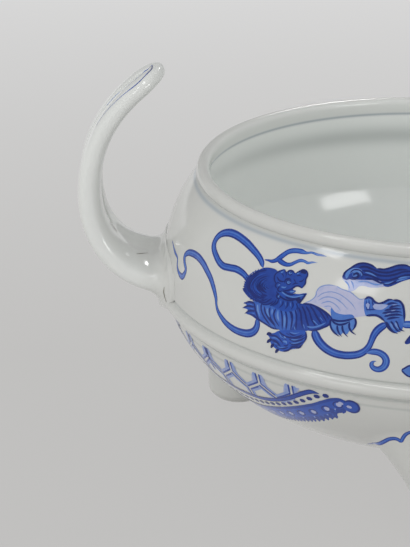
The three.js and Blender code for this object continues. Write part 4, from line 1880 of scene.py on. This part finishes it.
    def draw(self) -> None:
        """Paint the right half of one lappet."""
        band, line = self.curves()
        self.lace(line)
        self.diaper(band)
        self.ribbon(band, 2.3, 0.62, rim=0.2, hair=0.06, start=0.1, end=4.0)
        self.ribbon(line, 1.5, 0.66, start=0.1, end=2.0)
        self.pearls(band, line)
        self.curl()

    def build(self) -> None:
        """Lay a lappet over each gap between two legs."""
        self.draw()
        for place, azimuth in (("left", 210.0), ("right", 330.0), ("rear", 90.0)):
            middle = self.wall.u_at(azimuth)
            self.brush.build("painted_lappet_" + place, self.cobalt, [(middle, 1), (middle, -1)])


@dataclass
class LegPainting:
    """The scalloped line over each leg and the small brush marks on the leg itself."""

    wall: FlatWall
    cobalt: Material
    leg: Object
    bowl: Object
    clearance: float = 14.0
    lift: float = 0.06
    step: float = 0.4
    tone: float = 0.82
    lanes: tuple[float, ...] = (-0.5, -0.17, 0.17, 0.5)

    def draw(self) -> Brushwork:
        """Paint the left half of the scallop from (mm off the leg's middle, mm above the groove, width)."""
        brush = Brushwork(self.wall)
        scallop = [
            (-47, -54.5, 0.7), (-44.5, -52, 1.0), (-42, -48.4, 1.3), (-39, -44, 1.6), (-36, -39.8, 1.7),
            (-33.6, -37, 1.7), (-31.2, -35.6, 1.7), (-29.4, -35.5, 1.7), (-28, -36.3, 1.5),
        ]
        upper = [
            (-28.2, -36.4, 1.5), (-27.6, -34.6, 1.6), (-26.4, -32.2, 1.7), (-24.4, -30.2, 1.8),
            (-21, -28.8, 1.8), (-16.5, -28.6, 1.7), (-12.5, -29.8, 1.7), (-10.6, -31.8, 1.5),
            (-9.6, -29.6, 1.6), (-6.6, -27.2, 1.7), (-3, -25.8, 1.7), (0, -25.4, 1.7),
        ]
        for rows in (scallop, upper):
            brush.stroke(rows, 0.5, start=1.0, end=0.4, rim=0.24, streak=0.12)
        return brush

    def marks(self, over: BVHTree) -> tuple[np.ndarray, list[tuple[int, ...]]]:
        """Lay the small brush marks of the front leg on it.

        Args:
            over: The leg's surface.

        Returns:
            Points and faces.
        """
        points, faces = [], []
        for rows in (
            [(-11.6, 19.0, 0.4), (-10.2, 19.7, 1.2), (-8.4, 19.4, 0.9), (-7.2, 18.6, 0.4)],
            [(-6.6, 24.0, 0.4), (-3.6, 25.6, 0.9), (0, 26.2, 1.0), (3.6, 25.6, 0.9), (6.6, 24.0, 0.4)],
            [(11.6, 19.0, 0.4), (10.2, 19.7, 1.2), (8.4, 19.4, 0.9), (7.2, 18.6, 0.4)],
        ):
            path = smooth_path(rows, self.step)
            faces.extend(sheet_faces(len(path), len(self.lanes), len(points)))
            for (x, z, width), (dx, dz) in zip(path, directions(path[:, :2])):
                for share in self.lanes:
                    aside = width * share
                    eye = Vector((x - dz * aside, -2 * self.wall.mean_radius, z + dx * aside))
                    hit, normal, *_ = over.ray_cast(eye, Vector((0, 1, 0)))
                    points.append(np.array(hit + normal * self.lift))
        return np.array(points), faces

    def build(self) -> None:
        """Drape both over the front leg and the bowl, and carry copies to the other legs."""
        middle = self.wall.u_at(270.0)
        halves = [(middle, 1), (middle, -1)]
        over = surface(self.leg, self.bowl)
        scallop = self.draw()
        spots, faces = self.marks(surface(self.leg))
        tones = np.full(len(spots), self.tone)
        for name, turn in LEG_TURNS.items():
            scallop.build("painted_scallop_" + name, self.cobalt, halves, over, self.clearance, turn)
            painted("painted_leg_marks_" + name, turned(spots, turn), faces, tones, self.cobalt)


@dataclass
class PickedLines:
    """Thin lines picked in the picture and laid on what the camera sees there."""

    photo: Photograph
    over: BVHTree
    lift: float = 0.06
    step: float = 0.5
    lanes: tuple[float, ...] = (-0.32, -0.16, 0.0, 0.16, 0.32)

    def lay(self, *strokes: tuple[Rows, float, float]) -> tuple[np.ndarray, list, np.ndarray]:
        """Lay strokes on the surface.

        Args:
            *strokes: (x, y, width) rows, tone at the start and share of it that is lost at the end.

        Returns:
            Points, faces and tones.
        """
        points, faces, tones = [], [], []
        for rows, tone, loss in strokes:
            path = smooth_path(rows, self.step)
            eye, lines = self.photo.rays(path[:, :2])
            hits = [self.over.ray_cast(Vector(eye), Vector(line)) for line in lines]
            kept = [(*map(np.array, hit[:2]), row[2]) for hit, row in zip(hits, path) if hit[0] is not None]
            along = directions(np.array([spot for spot, *_ in kept]))
            sheet = sheet_faces(len(kept), len(self.lanes), len(points))
            faces.extend((a, d, c, b) for a, b, c, d in sheet)
            for i, (spot, normal, width) in enumerate(kept):
                square = np.cross(normal, along[i])
                for share in self.lanes:
                    place, out, *_ = self.over.find_nearest(Vector(spot + square * width * share))
                    points.append(np.array(place) + np.array(out) * self.lift)
                    tones.append(tone * (1 - loss * (i / len(kept)) ** 0.7))
        return np.array(points), faces, np.array(tones)


@dataclass
class HandleLines:
    """The two blue lines that edge the slot of each handle."""

    photo: Photograph
    cobalt: Material
    near_line: Rows = (
        (152.4, 65.4, 0.6), (151.6, 69, 1.3), (148.4, 72.4, 1.6), (143, 78, 0.9), (138.6, 82.4, 1.2),
        (133, 87.2, 1.1), (126, 92.6, 0.7), (119.5, 98, 0.6), (113.7, 103.6, 0.5), (108.3, 109, 0.45),
        (103.7, 114.6, 0.4), (99.7, 120, 0.35), (96.3, 125.4, 0.3),
    )
    far_line: Rows = (
        (152.2, 64.9, 0.5), (148.6, 68.6, 0.5), (144.4, 71.6, 0.55), (139.6, 76, 0.6), (134.6, 80, 0.5),
        (128.6, 84.8, 0.4), (122.6, 89.8, 0.35), (116.3, 95, 0.3), (111, 100.6, 0.3), (106.6, 105.6, 0.25),
    )

    def build(self, handle: Object) -> None:
        """Lay the lines on the left handle, and turn a copy to the right one."""
        spots, faces, tones = PickedLines(self.photo, surface(handle)).lay(
            (self.near_line, 0.85, 0.8), (self.far_line, 0.62, 0.8)
        )
        for side in Side:
            if side is Side.RIGHT:
                spots = turned(spots, 180.0)
            painted(f"painted_handle_lines_{side.name.lower()}", spots, faces, tones, self.cobalt, False)


@dataclass
class FiringFlaws:
    """Small grey-brown flaws of the firing by the root of the left handle."""

    photo: Photograph
    grit: Material
    spot: Rows = ((110, 222, 0.5), (112.6, 226, 1.1), (115, 229, 1.9), (117, 231.6, 1.0))
    thin_line: Rows = ((136.5, 253.9, 0.4), (140, 253.7, 0.8), (144, 253.2, 0.7), (148, 252.9, 0.3))
    crack: Rows = ((164.3, 287, 0.4), (163.8, 292, 0.9), (164.8, 297, 1.0), (166.4, 302, 0.5))

    def build(self, handle: Object) -> None:
        """Lay the flaws on the handle."""
        spots, faces, tones = PickedLines(self.photo, surface(handle)).lay(
            (self.spot, 0.5, 0.0), (self.thin_line, 0.5, 0.0), (self.crack, 0.5, 0.0)
        )
        painted("firing_flaws_left", spots, faces, tones, self.grit, False)


@dataclass(frozen=True)
class Matt:
    """A dull, faintly grained finish: bare porcelain of the soles, or grit burnt into the glaze."""

    name: str
    colour: Colour
    roughness: float = 0.85
    grain_scale: float = 500.0
    grain_share: Colour = (0.8, 0.8, 0.8)

    def material(self) -> Material:
        """Build the node material."""
        board = NodeBoard(bpy.data.materials.new(self.name))
        grain = board.noise(self.grain_scale)
        colour = board.mix(grain, self.colour, scaled(self.colour, self.grain_share))
        board.feed(board.nodes["Principled BSDF"], {"Base Color": colour, "Roughness": self.roughness})
        return board.owner


class Task(Enum):
    """What a soft box is there for: to light the form, or to mirror itself in the glaze."""

    FORM = auto()
    GLAZE = auto()


@dataclass(frozen=True)
class SoftBox:
    """A rectangular soft box that faces the burner, with its sizes in metres."""

    name: str
    azimuth: float
    elevation: float
    width: float
    height: float
    radiance: float
    task: Task = Task.GLAZE
    distance: float = 1.8
    aim_height: float = 0.11

    def build(self) -> None:
        """Hang the box."""
        aim, way = Vector((0, 0, self.aim_height)), Vector(heading(self.azimuth, self.elevation))
        deselect()
        bpy.ops.object.light_add(type="AREA", location=aim + way * self.distance)
        obj = bpy.context.object
        obj.name = self.name
        obj.data.shape = "RECTANGLE"
        obj.data.size, obj.data.size_y = self.width, self.height
        obj.data.energy = self.radiance * math.pi * self.width * self.height
        obj.rotation_euler = (-way).to_track_quat("-Z", "Y").to_euler()
        obj.visible_diffuse = self.task is Task.FORM
        obj.visible_glossy = self.task is Task.GLAZE


@dataclass(frozen=True)
class Studio:
    """Pale paper floor, even surrounding light and a few soft boxes, with sizes in metres."""

    floor_size: float = 14.0
    floor_near: Colour = (0.545, 0.53955, 0.531375)
    floor_far: Colour = (0.80, 0.80, 0.804)
    near_line: float = 0.1
    far_line: float = 1.6
    bounce: Colour = (0.5, 0.495, 0.4875)
    glow: float = 0.9
    sky: Colour = (0.985, 0.99, 0.99)
    surround: float = 0.78
    reflected: float = 0.5
    boxes: tuple[SoftBox, ...] = (
        SoftBox("form_box", 228.0, 14.0, 1.2, 0.9, 2.2, Task.FORM),
        SoftBox("veil_box", 229.0, 31.0, 0.5, 0.26, 3.2),
        SoftBox("shoulder_box", 203.0, 50.0, 0.3, 0.2, 6.0),
        SoftBox("lip_box", 215.0, 70.0, 1.2, 0.2, 6.0),
        SoftBox("window_box", 307.0, 21.0, 0.76, 0.4, 4.8),
        SoftBox("rear_box", 77.4, 41.0, 0.08, 0.3, 25.0),
    )

    def paper(self) -> Material:
        """Build the floor's finish: a little paler further away, with part of its paleness its own."""
        board = NodeBoard(bpy.data.materials.new("floor_paper"))
        depth = board.add("SeparateXYZ", "Y", {"Vector": board.add("TexCoord", "Object")})
        away = board.add("MapRange", "Result", {
            "Value": depth, "From Min": self.near_line, "From Max": self.far_line,
        })
        colour = board.mix(away, self.floor_near, self.floor_far)
        bounced = board.add("LightPath", "Is Diffuse Ray")
        shader = board.nodes["Principled BSDF"]
        board.feed(shader, {
            "Base Color": board.mix(bounced, colour, self.bounce),
            "Roughness": 0.95, "Specular IOR Level": 0.1,
        })
        share = board.add("MapRange", "Result", {"Value": bounced, "To Min": self.glow, "To Max": 0.0})
        glowing = board.add("Emission", "Emission", {"Color": colour})
        blend = board.add("MixShader", "Shader", {"Fac": share, 1: shader.outputs["BSDF"], 2: glowing})
        board.feed(board.nodes["Material Output"], {"Surface": blend})
        return board.owner

    def floor(self) -> None:
        """Lay the floor."""
        deselect()
        bpy.ops.mesh.primitive_plane_add(size=self.floor_size, location=(0, 0, 0))
        obj = bpy.context.object
        obj.name = "floor"
        obj.data.materials.append(self.paper())

    def build(self) -> None:
        """Set the stage."""
        scene = bpy.context.scene
        board = NodeBoard(bpy.data.worlds.new("studio_surround"))
        level = board.add("MapRange", "Result", {
            "Value": board.add("LightPath", "Is Glossy Ray"),
            "To Min": self.surround, "To Max": self.surround * self.reflected,
        })
        board.feed(board.nodes["Background"], {"Color": (*self.sky, 1), "Strength": level})
        scene.world = board.owner
        self.floor()
        for box in self.boxes:
            box.build()
        scene.view_settings.view_transform = "Standard"


def main() -> None:
    """Build the burner piece by piece and report each one."""
    logging.basicConfig(level=logging.INFO, format="%(name)s: %(message)s")
    shape, photo = BodyShape(), Photograph()
    glaze, cobalt = Glaze().material(), Cobalt().material()
    clay = Matt("bare_clay", (0.62, 0.56, 0.47)).material()
    grit = Matt("firing_grit", (0.17, 0.16, 0.12), 0.4).material()
    bowl = GlazedBody(shape, glaze).build()
    strap = StrapHandle(shape, glaze)
    handles = {side: strap.build(side) for side in Side}
    leg = StubLeg(shape, glaze, clay)
    legs = {}
    for place, turn in LEG_TURNS.items():
        legs[place] = leg.build("glazed_leg_" + place, turn, "leg_" + place)
        leg.bare_foot("bare_foot_" + place, turn)
    wall = FlatWall(shape, photo)
    LionPainting(wall, cobalt).build()
    BowlBorder(wall, cobalt).build()
    LegPainting(wall, cobalt, legs["front"], bowl).build()
    HandleLines(photo, cobalt).build(handles[Side.LEFT])
    FiringFlaws(photo, grit).build(handles[Side.LEFT])
    Studio().build()
    photo.camera()


if __name__ == "__main__":
    main()
